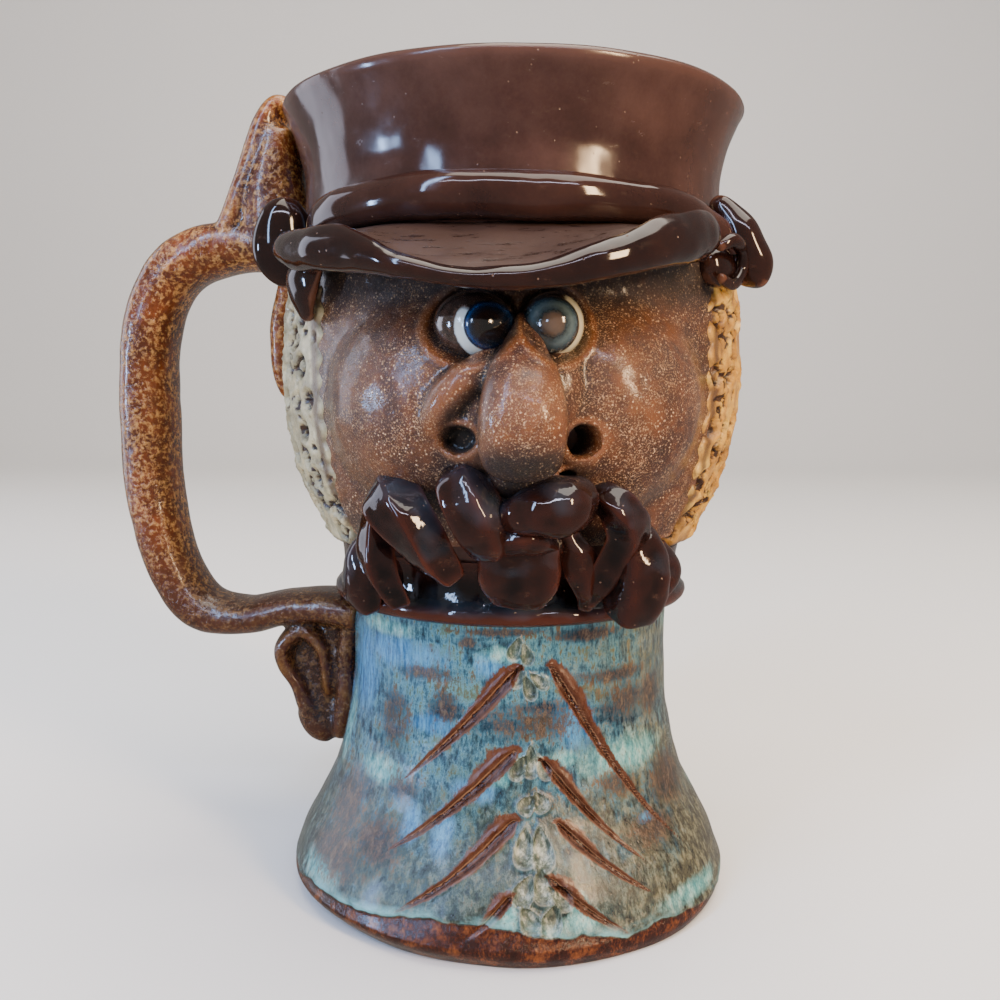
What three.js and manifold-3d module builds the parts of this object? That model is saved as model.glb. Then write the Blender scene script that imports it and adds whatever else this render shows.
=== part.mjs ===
// A hand-built stoneware mug: a thrown pot whose flared foot is a coat, whose bulb is a whiskered head
// and whose flared top is a peaked cap, with a pulled strap handle. Everything was luted together and
// fired as one piece.
// Millimetres, +Z up. The origin is the centre of the flat underside, the face looks along -Y and the
// handle stands to the -X side. Angles round the mug are in degrees from the face, positive towards +X.
import * as THREE from "three";
import { mergeVertices } from "three/addons/utils/BufferGeometryUtils.js";
import Module from "manifold-3d";

const wasm = await Module();
wasm.setup();

// Driving sizes of the thrown pot
const rimHeight = 160;
const rimRadius = 46.8;
const capRadius = 42.4;
const headRadius = 45;
const neckRadius = 33.3;
const footRadius = 46.6;
const footBevel = 1;
const footTrim = 2.4;
const wall = 4.6;
const floorThickness = 7;
const lipRound = 1.4;

// Driving sizes of what is added to the pot
const hairDepth = 3.2;
const hairEdge = 50;
const collarDepth = 3.9;
const strokeWidth = 2.6;
const strokeDepth = 1.5;
const nostrilRadius = 3.1;
const handleAngle = -98;
const gripReach = 36.2;
const gripHalfThick = 5.8;
const gripHalfWide = 7.8;

// The free forms are drawn on a mug 160 mm tall and keep their share of its height
const drawnHeight = 160;
const share = rimHeight / drawnHeight;

// Facets round the pot, and round a lump, strap or cord of clay
const potSides = 36;
const lumpSides = 10;
const strapSides = 8;

const radians = THREE.MathUtils.degToRad;
const smooth = THREE.MathUtils.smoothstep;
const mix = THREE.MathUtils.lerp;

// Outer radius of the thrown wall: stations of drawn height and radius, joined by a smooth curve
const wallStations = [
  [4, footRadius],
  [12, mix(neckRadius, footRadius, 0.77)],
  [24, mix(neckRadius, footRadius, 0.3)],
  [38, mix(neckRadius, footRadius, 0.05)],
  [50, neckRadius],
  [64, neckRadius],
  [76, mix(neckRadius, headRadius, 0.31)],
  [86, mix(neckRadius, headRadius, 0.71)],
  [98, mix(neckRadius, headRadius, 0.95)],
  [112, headRadius],
  [130, mix(headRadius, capRadius, 0.62)],
  [145, capRadius],
  [152, mix(capRadius, rimRadius, 0.32)],
  [160, rimRadius],
].map(([z, r]) => new THREE.Vector2(z * share, r));

function wallRadius(z) {
  const last = wallStations.length - 1;
  const height = THREE.MathUtils.clamp(z, wallStations[0].x, wallStations[last].x);
  let i = 0;
  while (i < last - 1 && height > wallStations[i + 1].x) i++;
  const slope = (j) => {
    const a = wallStations[Math.max(j - 1, 0)];
    const b = wallStations[Math.min(j + 1, last)];
    return (b.y - a.y) / (b.x - a.x);
  };
  const [p, q] = [wallStations[i], wallStations[i + 1]];
  const span = q.x - p.x;
  const t = (height - p.x) / span;
  const [t2, t3] = [t * t, t * t * t];
  const ends = (2 * t3 - 3 * t2 + 1) * p.y + (3 * t2 - 2 * t3) * q.y;
  return ends + (t3 - 2 * t2 + t) * span * slope(i) + (t3 - t2) * span * slope(i + 1);
}

// A point beside the mug, from drawn height and drawn lift off the thrown wall
function onMug(angle, drawnZ, drawnLift) {
  const z = drawnZ * share;
  const r = wallRadius(z) + drawnLift * share;
  return new THREE.Vector3(r * Math.sin(radians(angle)), -r * Math.cos(radians(angle)), z);
}

// Solids from geometry
function solid(geometry) {
  const bare = geometry.clone();
  bare.deleteAttribute("normal");
  bare.deleteAttribute("uv");
  const merged = mergeVertices(bare, 1e-4);
  const corners = [];
  for (let i = 0; i < merged.index.count; i += 3) {
    const [a, b, c] = [0, 1, 2].map((j) => merged.index.getX(i + j));
    if (a !== b && b !== c && c !== a) corners.push(a, b, c);
  }
  const make = (order) =>
    new wasm.Manifold(
      new wasm.Mesh({
        numProp: 3,
        vertProperties: merged.attributes.position.array,
        triVerts: new Uint32Array(order),
      }),
    );
  const made = make(corners);
  return made.volume() > 0 ? made : make(corners.reverse());
}

const joined = (solids) => solids.reduce((all, one) => all.add(one));

function lathe(points, sides) {
  const profile = points.map(([r, z]) => new THREE.Vector2(r, z));
  return new THREE.LatheGeometry(profile, sides).rotateX(Math.PI / 2);
}

// A closed skin over rings of points, each ring with as many points as the others
function skin(rings) {
  const count = rings[0].length;
  const middle = (ring) => ring.reduce((sum, p) => sum.add(p), new THREE.Vector3()).divideScalar(count);
  const points = [...rings.flat(), middle(rings[0]), middle(rings[rings.length - 1])];
  const [start, end] = [points.length - 2, points.length - 1];
  const lastRing = (rings.length - 1) * count;
  const index = [];
  for (let j = 0; j < count; j++) {
    const next = (j + 1) % count;
    for (let i = 0; i < rings.length - 1; i++) {
      const [a, b] = [i * count + j, i * count + next];
      index.push(a, b, b + count, a, b + count, a + count);
    }
    index.push(start, next, j, end, lastRing + j, lastRing + next);
  }
  const geometry = new THREE.BufferGeometry().setFromPoints(points);
  geometry.setIndex(index);
  return geometry;
}

// A strap of clay through stations of centre, half width and half thickness. Its flat side faces away
// from the mug's axis, or squarely across the direction given as edge
function sweep(stations, steps, edge) {
  const curve = new THREE.CatmullRomCurve3(stations.map((s) => s.centre), false, "centripetal");
  const rings = [];
  for (let i = 0; i <= steps; i++) {
    const t = i / steps;
    const centre = curve.getPoint(t);
    const along = curve.getTangent(t);
    const at = Math.min(t * (stations.length - 1), stations.length - 1 - 1e-9);
    const [p, q] = [stations[Math.floor(at)], stations[Math.floor(at) + 1]];
    const wide = mix(p.wide, q.wide, at % 1);
    const thick = mix(p.thick, q.thick, at % 1);
    const outward = new THREE.Vector3(centre.x, centre.y, 0);
    const across = (edge ? edge.clone() : outward.cross(along)).normalize();
    const out = along.clone().cross(across).normalize();
    rings.push(
      Array.from({ length: strapSides }, (_, j) => {
        const a = ((j + 0.5) / strapSides) * 2 * Math.PI;
        const square = 1 / Math.pow(Math.abs(Math.cos(a)) ** 3 + Math.abs(Math.sin(a)) ** 3, 1 / 3);
        return centre
          .clone()
          .addScaledVector(across, wide * square * Math.cos(a))
          .addScaledVector(out, thick * square * Math.sin(a));
      }),
    );
  }
  return solid(skin(rings));
}

// A strap laid on the mug: rows of angle, height, lift, half width and half thickness
const strapOnMug = (rows, steps) =>
  sweep(
    rows.map(([angle, z, lift, wide, thick]) => ({
      centre: onMug(angle, z, lift),
      wide: wide * share,
      thick: thick * share,
    })),
    steps,
  );

// A rounded lump on the mug: half sizes round the mug, away from it and up, leaning clockwise as seen
// from outside
function lump(angle, z, lift, [round, away, up], lean = 0, sides = lumpSides) {
  const ball = new THREE.SphereGeometry(1, sides, Math.round(sides * 0.7))
    .rotateX(Math.PI / 2)
    .scale(round * share, away * share, up * share)
    .rotateY(radians(lean))
    .rotateZ(radians(angle));
  const at = onMug(angle, z, lift);
  return solid(ball.translate(at.x, at.y, at.z));
}

// The thrown pot without its hollow: flat underside, flared foot with its edge cut away more to the left
// of the face, neck, bulb and flared rim, with the hair as a thicker skin round the sides and back
function hairAt(angle, z) {
  const [bottom, top] = [73.5 * share, 126 * share];
  const edge = Math.abs(angle) / hairEdge;
  const fade = 2.5 * share;
  return smooth(edge, 0.9, 1.04) * smooth(z, bottom, bottom + fade) * (1 - smooth(z, top, top + fade));
}

function potBody() {
  const rows = 18;
  const profile = [
    [0, 0],
    [footRadius - footBevel, 0],
    [footRadius, footBevel],
  ];
  for (let i = 0; i <= rows; i++) {
    const z = mix(4 * share, rimHeight - lipRound, i / rows);
    profile.push([wallRadius(z), z]);
  }
  profile.push([rimRadius - lipRound, rimHeight], [0, rimHeight]);
  const geometry = lathe(profile, potSides);
  const place = geometry.attributes.position;
  for (let i = 0; i < place.count; i++) {
    const [x, y, z] = [place.getX(i), place.getY(i), place.getZ(i)];
    const r = Math.hypot(x, y);
    if (r < neckRadius / 2) continue;
    const angle = THREE.MathUtils.radToDeg(Math.atan2(x, -y));
    const leftFront = Math.max(0, Math.cos(radians(angle + 42))) ** 2;
    const trimmed = footTrim * leftFront * (1 - smooth(z, 0, 3.6 * footBevel));
    const grown = (r - trimmed + hairDepth * share * hairAt(angle, z)) / r;
    place.setXY(i, x * grown, y * grown);
  }
  return solid(geometry);
}

// The hollow: it follows the wall inside, from the floor to a mouth that rounds over the lip
function potHollow() {
  const rows = 8;
  const foot = floorThickness + 5 * share;
  const profile = [
    [0, floorThickness],
    [wallRadius(foot) - wall - 5 * share, floorThickness],
  ];
  for (let i = 0; i <= rows; i++) {
    const z = mix(foot, rimHeight - lipRound, i / rows);
    profile.push([wallRadius(z) - wall * mix(1.25, 0.8, i / rows), z]);
  }
  const mouth = profile[profile.length - 1][0];
  const above = rimHeight + 10 * share;
  profile.push([mouth + lipRound, rimHeight], [mouth + lipRound, above], [0, above]);
  return solid(lathe(profile, potSides));
}

// The coat's collar flares out over the neck like a turned-up hem
function collar() {
  const z = (drawn) => drawn * share;
  const inside = neckRadius - wall / 2;
  return solid(
    lathe(
      [
        [inside, z(61)],
        [neckRadius + 0.3, z(61)],
        [neckRadius + collarDepth, z(64.4)],
        [neckRadius + collarDepth * 0.8, z(67)],
        [inside, z(76)],
        [inside, z(61)],
      ],
      potSides,
    ),
  );
}

// Face: round cheeks, bulbous nose with flared wings, and two bulging eyes that squint at it
function face() {
  const cheeks = [-1, 1].map((side) => lump(side * 22.5, 102.5, -12, [21.6, 20.6, 21.5], side * 3, 11));
  const bridge = strapOnMug(
    [
      [0.4, 113.5, 2, 3, 3],
      [0.2, 110, 7, 4.6, 4.6],
      [-0.2, 105.5, 11.2, 5.8, 6],
      [-0.3, 101, 13.4, 6.5, 6.8],
      [0, 98, 13, 6.4, 6.6],
    ],
    6,
  );
  const tip = lump(0, 97.4, 12.8, [6.9, 8.8, 7.8], 0, 10);
  const wings = [
    lump(-10.6, 98.4, 6.2, [6.6, 5.8, 7], 24, 8),
    lump(12.4, 96.4, 5.4, [6.6, 5, 6.4], 0, 8),
  ];
  const lip = lump(2, 89, 4, [8.6, 5, 4.4], 0, 8);
  const eyes = [lump(-8.6, 115.6, 1, [7.4, 8, 6], 0, 9), lump(6.3, 115.8, 1, [5.9, 8, 6], 0, 9)];
  const irises = [lump(-5.8, 115, 8.2, [4, 1.6, 4], 0, 7), lump(4.6, 115.2, 8.2, [4.3, 1.6, 4.3], 0, 7)];
  return joined([...cheeks, bridge, tip, ...wings, lip, ...eyes, ...irises]);
}

// Both nostrils go into the wings, the left one as a wide cave under its wing
function nostrils() {
  const hole = (angle, z, wide, high) => {
    const depth = 7 * share;
    const cutter = new THREE.CylinderGeometry(1, 1, depth, 12).scale(wide, 1, high).rotateZ(radians(angle));
    const at = onMug(angle, z, 10);
    return solid(cutter.translate(at.x, at.y, at.z));
  };
  return hole(-10.6, 96.6, nostrilRadius * 1.25, nostrilRadius * 0.9).add(
    hole(12, 96.2, nostrilRadius, nostrilRadius),
  );
}

// Cap: a roll of clay round the front, a drooping peak with a wavy thick lip, a button at each side and
// a thin hem round the back
function capBand() {
  return strapOnMug(
    [
      [-62, 131.5, 0.5, 1.6, 1.6],
      [-54, 134.5, 1.2, 3.2, 2.6],
      [-40, 136.4, 1.4, 4, 3],
      [0, 136.7, 1.5, 4.1, 3.2],
      [38, 136.2, 1.4, 3.8, 3],
      [52, 134.6, 1.2, 3.2, 2.6],
      [62, 132, 0.5, 1.8, 1.6],
    ],
    10,
  );
}

function capPeak() {
  // The lip's height, its reach beyond the wall and its half height, round the front
  const lip = [
    [-62, 130.4, 3.4, 2.2],
    [-56, 129.6, 8.4, 2.8],
    [-49, 129, 12, 3.1],
    [-41, 128.2, 14.4, 3.5],
    [-34, 127.5, 16.4, 3.5],
    [-28, 127, 17.6, 3.5],
    [-22, 125.2, 18.8, 2.5],
    [-16, 123.2, 19.6, 1.8],
    [-9, 121.7, 20.2, 1.8],
    [-2, 121.4, 20.6, 2],
    [6, 122.8, 20.4, 2.6],
    [13, 125, 19.8, 3.1],
    [20, 127.3, 18.4, 4],
    [27, 129.1, 16.4, 4.2],
    [33, 130.5, 13.8, 4.1],
    [39, 131.1, 10, 3.3],
    [45, 131, 4.2, 2.6],
  ];
  const steps = 15;
  const root = 132.6;
  const rings = [];
  const curve = new THREE.CatmullRomCurve3(lip.map((row) => new THREE.Vector3(...row)));
  for (let i = 0; i <= steps; i++) {
    const line = curve.getPoint(i / steps);
    const at = Math.min((i / steps) * (lip.length - 1), lip.length - 1 - 1e-9);
    const half = mix(lip[Math.floor(at)][3], lip[Math.floor(at) + 1][3], at % 1);
    const [crest, under] = [line.y + half, line.y - half];
    rings.push([
      onMug(line.x, root + 1.4, -2),
      onMug(line.x, mix(root, crest, 0.55) - 0.8, line.z * 0.55),
      onMug(line.x, crest - 0.1, line.z - 1.6),
      onMug(line.x, line.y + half * 0.4, line.z + 1),
      onMug(line.x, line.y - half * 0.5, line.z + 0.8),
      onMug(line.x, under, line.z - 1.4),
      onMug(line.x, mix(root, under, 0.55) - 3, line.z * 0.55),
      onMug(line.x, root - 5, -2),
    ]);
  }
  return solid(skin(rings));
}

function capTrim() {
  const buttons = [
    lump(-70, 131.6, 4.2, [5, 6.2, 8.4], 4, 9),
    lump(59.5, 132.4, 4.6, [6, 6.2, 8.4], -18, 9),
    lump(-60, 124.5, 3.4, [4.6, 3.4, 4.4], 25, 7),
    lump(51, 127.5, 4.4, [4.4, 4, 4], -30, 7),
  ];
  const hem = [];
  for (let angle = 66; angle <= 282; angle += 24) hem.push([angle, 129, 0.6, 1.9, 1.5]);
  return joined([...buttons, strapOnMug(hem, 8)]);
}

// Moustache: folded straps that fall outwards from the nose, over a square chin
function whiskers() {
  const straps = {
    farLeft: [
      [-48, 76, 0.4, 2.4, 2.2],
      [-50, 71, 4, 5.4, 2.2],
      [-49, 65.6, 4.8, 6.8, 2.2],
      [-47, 61.4, 3.8, 3.2, 1.8],
    ],
    hangingLoop: [
      [-37, 84, 0.6, 3, 2.2],
      [-36, 77, 6, 3.8, 2.8],
      [-34, 70.5, 7.8, 4, 3],
      [-31.5, 64.6, 5.8, 3.4, 2.4],
    ],
    leftRibbon: [
      [-29, 89.6, 0.8, 3.4, 2.4],
      [-24, 84.6, 8.4, 4.6, 2.6],
      [-18.4, 78, 11.4, 4.2, 2.8],
      [-14, 71.8, 11, 3.8, 3],
    ],
    leftRoll: [
      [-12, 92, 1.4, 3, 2.8],
      [-9.2, 88.4, 9, 4.4, 3.4],
      [-6.6, 82.4, 11.4, 4.6, 3.6],
      [-4.6, 77.6, 10.6, 4.4, 2.8],
    ],
    bean: [
      [-2.4, 83.6, 7.6, 3, 3],
      [2.6, 84.6, 10.6, 4.6, 4.4],
      [8.6, 85.4, 10.4, 4.8, 4.6],
      [13.6, 85.6, 7, 3.6, 3.2],
    ],
    rightRibbon: [
      [15, 88, 0.8, 3, 2.4],
      [20, 84, 8.6, 3.8, 3],
      [22.6, 76, 8.8, 4.4, 3],
      [19, 66.4, 5, 3, 2.2],
    ],
    rightRoll: [
      [26.4, 81, 0.8, 4, 3],
      [28.2, 75.4, 9, 4.6, 4.4],
      [28.8, 69.4, 10.4, 4.8, 5],
      [29.2, 63.6, 8.4, 4.4, 3.8],
    ],
    farRight: [
      [46, 75.6, 0.4, 2.6, 2.2],
      [50, 69.6, 4.2, 3.8, 2.8],
      [51, 65, 3, 2, 2],
    ],
    chin: [
      [0.4, 81, 1.4, 5.6, 4],
      [0.4, 77.6, 8.6, 7.2, 4.4],
      [0.6, 72, 8.4, 7, 4],
      [0.4, 67.8, 7.2, 5.4, 3.2],
    ],
  };
  return joined(Object.values(straps).map((rows) => strapOnMug(rows, 4)));
}

// Hair: pits pressed into the thicker skin in leaning rows
function hairPits() {
  const pit = new THREE.OctahedronGeometry(3.6 * share);
  const pits = [];
  const [rows, columns] = [3, 7];
  for (let row = 0; row < rows; row++) {
    const z = mix(81, 118, row / (rows - 1));
    for (let column = 0; column < columns; column++) {
      const angle = mix(57, 303, (column + 0.5 * (row % 2)) / (columns - 0.5));
      if (Math.abs(angle - (handleAngle + 360)) < 9 && z > 98) continue;
      const at = onMug(angle, z, hairDepth + 0.9);
      pits.push(solid(pit.clone().rotateZ(radians(angle + 31 * row)).translate(at.x, at.y, at.z)));
    }
  }
  return joined(pits);
}

// Coat: strokes cut down and outwards from the middle with a pointed tool, over a column of marks
const strokes = [
  [-0.5, 53.1, -33.8, 30.6],
  [-1, 37.7, -33, 17.1],
  [-1, 25.3, -29.2, 9],
  [-0.9, 13.5, -11.3, 6],
  [13.1, 53.4, 52, 18.4],
  [10.3, 36.5, 36.5, 21.1],
  [12.4, 24.9, 34.5, 11.8],
  [9.3, 16.4, 29.1, 6.6],
];

function strokeCut([fromAngle, fromZ, toAngle, toZ]) {
  const steps = 3;
  const rings = [];
  for (let i = 0; i <= steps; i++) {
    const t = i / steps;
    const z = mix(fromZ, toZ, t);
    const angle = mix(fromAngle, toAngle, t);
    const open = Math.sin(Math.PI * mix(0.22, 0.94, t));
    const half = (strokeWidth / 2) * open;
    const turn = THREE.MathUtils.radToDeg(half / wallRadius(z * share)) * Math.sign(toAngle - fromAngle);
    const [above, below] = [half / share, -half / share];
    rings.push([
      onMug(angle + turn, z + above, 1.2),
      onMug(angle - turn, z + below, 1.2),
      onMug(angle, z, (-strokeDepth * open) / share),
    ]);
  }
  return solid(skin(rings));
}

function coatMarks() {
  const column = 5.4;
  const heights = [52.6, 35.7, 27.4, 20.8, 12.2];
  const pressed = heights.map((z, i) => lump(column, z, 2, [3.4, 3, 2.2 + 0.3 * i], 0, 5));
  return joined([...strokes.map(strokeCut), ...pressed]);
}

// Handle: a pulled strap from the cap round to the collar, its end running down the coat beside a small
// scroll, with a rest for the thumb from its shoulder to the rim and a tail smeared down the hair
const handleSide = new THREE.Vector3(Math.cos(radians(handleAngle)), Math.sin(radians(handleAngle)), 0);

const handleStations = (rows) =>
  rows.map(([radius, z, thick, wide]) => ({
    centre: new THREE.Vector3(
      radius * Math.sin(radians(handleAngle)),
      -radius * Math.cos(radians(handleAngle)),
      z * share,
    ),
    thick: thick * share,
    wide: wide * share,
  }));

const handleStrap = (rows, steps) => sweep(handleStations(rows), steps, handleSide);

function grip() {
  const [t, w] = [gripHalfThick / share, gripHalfWide / share];
  return handleStrap(
    [
      [capRadius - wall / 2, 133, t * 1.1, w * 1.3],
      [headRadius + gripReach * 0.28, 135, t * 0.92, w * 1.05],
      [headRadius + gripReach * 0.64, 133.2, t, w],
      [headRadius + gripReach * 0.87, 126.5, t, w],
      [headRadius + gripReach * 0.98, 114, t, w],
      [headRadius + gripReach, 98, t, w],
      [headRadius + gripReach * 0.98, 82, t, w],
      [headRadius + gripReach * 0.89, 66, t * 0.96, w],
      [headRadius + gripReach * 0.7, 55.6, t * 0.82, w],
      [headRadius + gripReach * 0.42, 53.6, t * 0.66, w],
      [neckRadius + gripReach * 0.45, 56, t * 0.62, w * 1.05],
      [neckRadius + gripReach * 0.18, 56.4, t * 0.66, w * 1.1],
      [neckRadius - wall / 2, 55, t * 0.7, w * 1.1],
    ],
    18,
  );
}

function scroll() {
  const tail = handleStrap(
    [
      [neckRadius + 1, 57, 3, 6],
      [neckRadius + 2.6, 46, 2.4, 5.4],
      [neckRadius + 3, 36, 2.4, 5],
      [neckRadius + 3.8, 27, 2, 3.6],
    ],
    4,
  );
  const roll = handleStrap(
    [
      [neckRadius + 7.3, 35.4, 1.6, 4.4],
      [neckRadius + 7, 41, 2, 5.6],
      [neckRadius + 8, 47.4, 2.2, 6.2],
      [neckRadius + 12.3, 51.3, 2.3, 6.4],
      [neckRadius + 16.6, 47.4, 2.2, 6.2],
      [neckRadius + 16.4, 43, 2.1, 5.8],
      [neckRadius + 13.8, 38.6, 2.1, 5.2],
      [neckRadius + 11.8, 33.4, 2.5, 4.8],
      [neckRadius + 9.4, 29, 3.1, 4.4],
      [neckRadius + 5, 27.4, 2.8, 3.8],
    ],
    11,
  );
  const bowl = handleStrap(
    [
      [neckRadius + 10.4, 51, 5.4, 2.4],
      [neckRadius + 10, 44, 7.6, 2.6],
      [neckRadius + 7.6, 36, 6, 2.8],
      [neckRadius + 6, 29, 4.2, 3.2],
    ],
    4,
  );
  return joined([tail, roll, bowl]);
}

function thumbRest() {
  const strap = handleStrap(
    [
      [headRadius + gripReach * 0.46, 136, 3, 7.4],
      [headRadius + gripReach * 0.37, 143, 3.4, 7.2],
      [rimRadius + 8, 151.5, 3.4, 6.8],
      [rimRadius + 5.6, 159.4, 3.2, 6.4],
      [rimRadius + 3, 164.6, 2.4, 5.6],
      [rimRadius - 0.4, 163.2, 2, 4.6],
    ],
    9,
  );
  const web = handleStrap(
    [
      [capRadius + gripReach * 0.25, 134, 9.8, 7.6],
      [capRadius + gripReach * 0.25, 144, 7.8, 7.4],
      [capRadius + gripReach * 0.22, 152, 5.6, 6.8],
      [rimRadius + 2.4, 160, 3.6, 5.8],
    ],
    6,
  );
  return strap.add(web);
}

const hairTail = () =>
  handleStrap(
    [
      [headRadius + 1.2, 130, 3, 6],
      [headRadius + 4.4, 119, 2.6, 5],
      [headRadius + 4.4, 108, 2.4, 4.4],
      [headRadius + 2.8, 102.4, 1.6, 3],
    ],
    5,
  );

const clay = joined([
  potBody().subtract(hairPits()).subtract(coatMarks()),
  collar(),
  face(),
  capBand(),
  capPeak(),
  capTrim(),
  whiskers(),
  grip(),
  scroll(),
  thumbRest(),
  hairTail(),
])
  .subtract(nostrils())
  .subtract(potHollow());

function geometryOf(manifold) {
  const mesh = manifold.getMesh();
  const geometry = new THREE.BufferGeometry();
  geometry.setAttribute("position", new THREE.BufferAttribute(new Float32Array(mesh.vertProperties), 3));
  geometry.setIndex(new THREE.BufferAttribute(new Uint32Array(mesh.triVerts), 1));
  geometry.computeVertexNormals();
  return geometry;
}

const mug = new THREE.Mesh(
  geometryOf(clay),
  new THREE.MeshStandardMaterial({ color: 0x4a2a20, roughness: 0.25, metalness: 0 }),
);
mug.name = "face_mug";

const part = new THREE.Group();
part.add(mug);

export default part;
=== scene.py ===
import math

import bpy
import numpy as np
from mathutils import Matrix, Vector, noise


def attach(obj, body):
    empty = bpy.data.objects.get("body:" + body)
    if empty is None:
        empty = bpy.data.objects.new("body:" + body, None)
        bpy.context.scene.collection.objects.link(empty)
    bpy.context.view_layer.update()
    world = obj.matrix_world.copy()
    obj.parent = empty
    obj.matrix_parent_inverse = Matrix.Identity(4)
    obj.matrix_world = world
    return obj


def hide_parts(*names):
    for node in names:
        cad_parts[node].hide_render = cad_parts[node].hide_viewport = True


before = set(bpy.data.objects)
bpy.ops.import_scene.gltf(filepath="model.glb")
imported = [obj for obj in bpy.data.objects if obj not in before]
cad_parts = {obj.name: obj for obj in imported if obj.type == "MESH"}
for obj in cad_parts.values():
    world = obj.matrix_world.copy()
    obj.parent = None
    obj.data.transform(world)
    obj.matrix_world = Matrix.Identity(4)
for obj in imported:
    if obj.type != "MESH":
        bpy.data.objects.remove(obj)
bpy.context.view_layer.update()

mm = 0.001

# Angles round the mug are degrees from the face, positive towards +X. Sizes below are millimetres.


# Small helpers for arrays

def smooth(value, low, high):
    t = np.clip((value - low) / (high - low), 0, 1)
    return t * t * (3 - 2 * t)


def mix(a, b, t):
    return a + (b - a) * t


def softMax(a, b, blend):
    h = np.clip(0.5 + 0.5 * (a - b) / blend, 0, 1)
    return mix(b, a, h) + blend * h * (1 - h)


def bump(value, centre, width):
    return np.exp(-(((value - centre) / width) ** 2))


def wobble(points, size, seed=0.0):  # smooth noise, about -1 to 1, with lumps of this size
    shift = Vector((seed * 7.1, seed * 3.3, seed * 5.7))
    return np.array([noise.noise(Vector(p) / size + shift) for p in points])


def between(p0, p1, p2, p3, f):  # smooth curve from p1 to p2, f from 0 to 1
    slopes = (p2 - p0) / 2 * f + (2 * p0 - 5 * p1 + 4 * p2 - p3) / 2 * f**2
    return p1 + slopes + (3 * p1 - p0 - 3 * p2 + p3) / 2 * f**3


def spline(rows, t):  # smooth curve through rows of numbers, t from 0 to 1
    rows = np.asarray(rows, float)
    last = len(rows) - 1
    at = np.clip(np.asarray(t, float), 0, 1) * last
    i = np.clip(at.astype(int), 0, last - 1)
    f = (at - i)[:, None]
    return between(rows[np.maximum(i - 1, 0)], rows[i], rows[i + 1], rows[np.minimum(i + 2, last)], f)


# The thrown wall that everything sits on

wall = {
    "height": np.array([4, 12, 24, 38, 50, 64, 76, 86, 98, 112, 130, 145, 152, 160.0]),
    "radius": np.array([46.6, 43.5, 37.3, 34.0, 33.3, 33.3, 36.9, 41.6, 44.4, 45.0, 43.4, 42.4, 43.8, 46.8]),
    "thick": 4.6,
    "floor": 7.0,
}


def wallRadius(z):
    height, radius = wall["height"], wall["radius"]
    z = np.clip(np.asarray(z, float), height[0], height[-1])
    i = np.clip(np.searchsorted(height, z) - 1, 0, len(height) - 2)
    ahead = np.minimum(np.arange(len(height)) + 1, len(height) - 1)
    behind = np.maximum(np.arange(len(height)) - 1, 0)
    slope = (radius[ahead] - radius[behind]) / (height[ahead] - height[behind])
    span = height[i + 1] - height[i]
    t = (z - height[i]) / span
    ends = (2 * t**3 - 3 * t**2 + 1) * radius[i] + (3 * t**2 - 2 * t**3) * radius[i + 1]
    return ends + span * ((t**3 - 2 * t**2 + t) * slope[i] + (t**3 - t**2) * slope[i + 1])


def around(angle, radius, z):
    turn = np.radians(angle)
    return np.stack(np.broadcast_arrays(radius * np.sin(turn), -radius * np.cos(turn), z), axis=-1)


def onMug(angle, z, lift):
    return around(angle, wallRadius(z) + lift, z)


def turnOf(at):  # the angle round the mug of each point
    return np.degrees(np.arctan2(at[:, 0], -at[:, 1]))


def arc(angle, middle, radius):  # how far round the mug from a middle
    return (angle - middle) * math.pi / 180 * radius


# Modelling helpers

def selectNothing():
    bpy.ops.object.select_all(action="DESELECT")


def selectOnly(*objects):
    selectNothing()
    for each in objects:
        each.select_set(True)
    bpy.context.view_layer.objects.active = objects[0]


def points(piece):  # a piece's vertices, in millimetres
    flat = np.empty(len(piece.data.vertices) * 3)
    piece.data.vertices.foreach_get("co", flat)
    return flat.reshape(-1, 3) / mm


def movePoints(piece, places):
    piece.data.vertices.foreach_set("co", (np.asarray(places) * mm).ravel())
    piece.data.update()


def named(name):  # names the object just made
    piece = bpy.context.object
    piece.name = piece.data.name = name
    return piece


def normals(piece):
    flat = np.empty(len(piece.data.vertices) * 3)
    piece.data.vertex_normals.foreach_get("vector", flat)
    return flat.reshape(-1, 3)


def weld(piece, distance=0.004):
    selectOnly(piece)
    bpy.ops.object.mode_set(mode="EDIT")
    bpy.ops.mesh.select_all(action="SELECT")
    bpy.ops.mesh.remove_doubles(threshold=distance * mm)
    bpy.ops.mesh.normals_make_consistent(inside=False)
    bpy.ops.object.mode_set(mode="OBJECT")


def wrapGrid(name, columns, rows, place, closed=True):  # a flat grid bent into shape, sewn up if closed
    selectNothing()
    bpy.ops.mesh.primitive_grid_add(x_subdivisions=columns, y_subdivisions=rows, size=1)
    piece = named(name)
    flat = points(piece) * mm + 0.5
    movePoints(piece, place(flat[:, 0], flat[:, 1]))
    if closed:
        weld(piece)
    return piece


def rowOf(v, last):  # which row of a table a grid line stands for
    return np.clip(np.round(v * last).astype(int), 0, last)


def useModifier(piece, kind, **settings):
    selectOnly(piece)
    made = piece.modifiers.new(kind.lower(), kind)
    for key, value in settings.items():
        setattr(made, key, value)
    bpy.ops.object.modifier_apply(modifier=made.name)


def fuse(name, parts, voxel, rounds):  # luted clay: one skin over all the parts, then rubbed smooth
    selectOnly(*parts)
    bpy.ops.object.join()
    piece = named(name)
    useModifier(piece, "REMESH", mode="VOXEL", voxel_size=voxel * mm, adaptivity=0)
    useModifier(piece, "SMOOTH", factor=0.5, iterations=rounds)
    return piece


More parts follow.
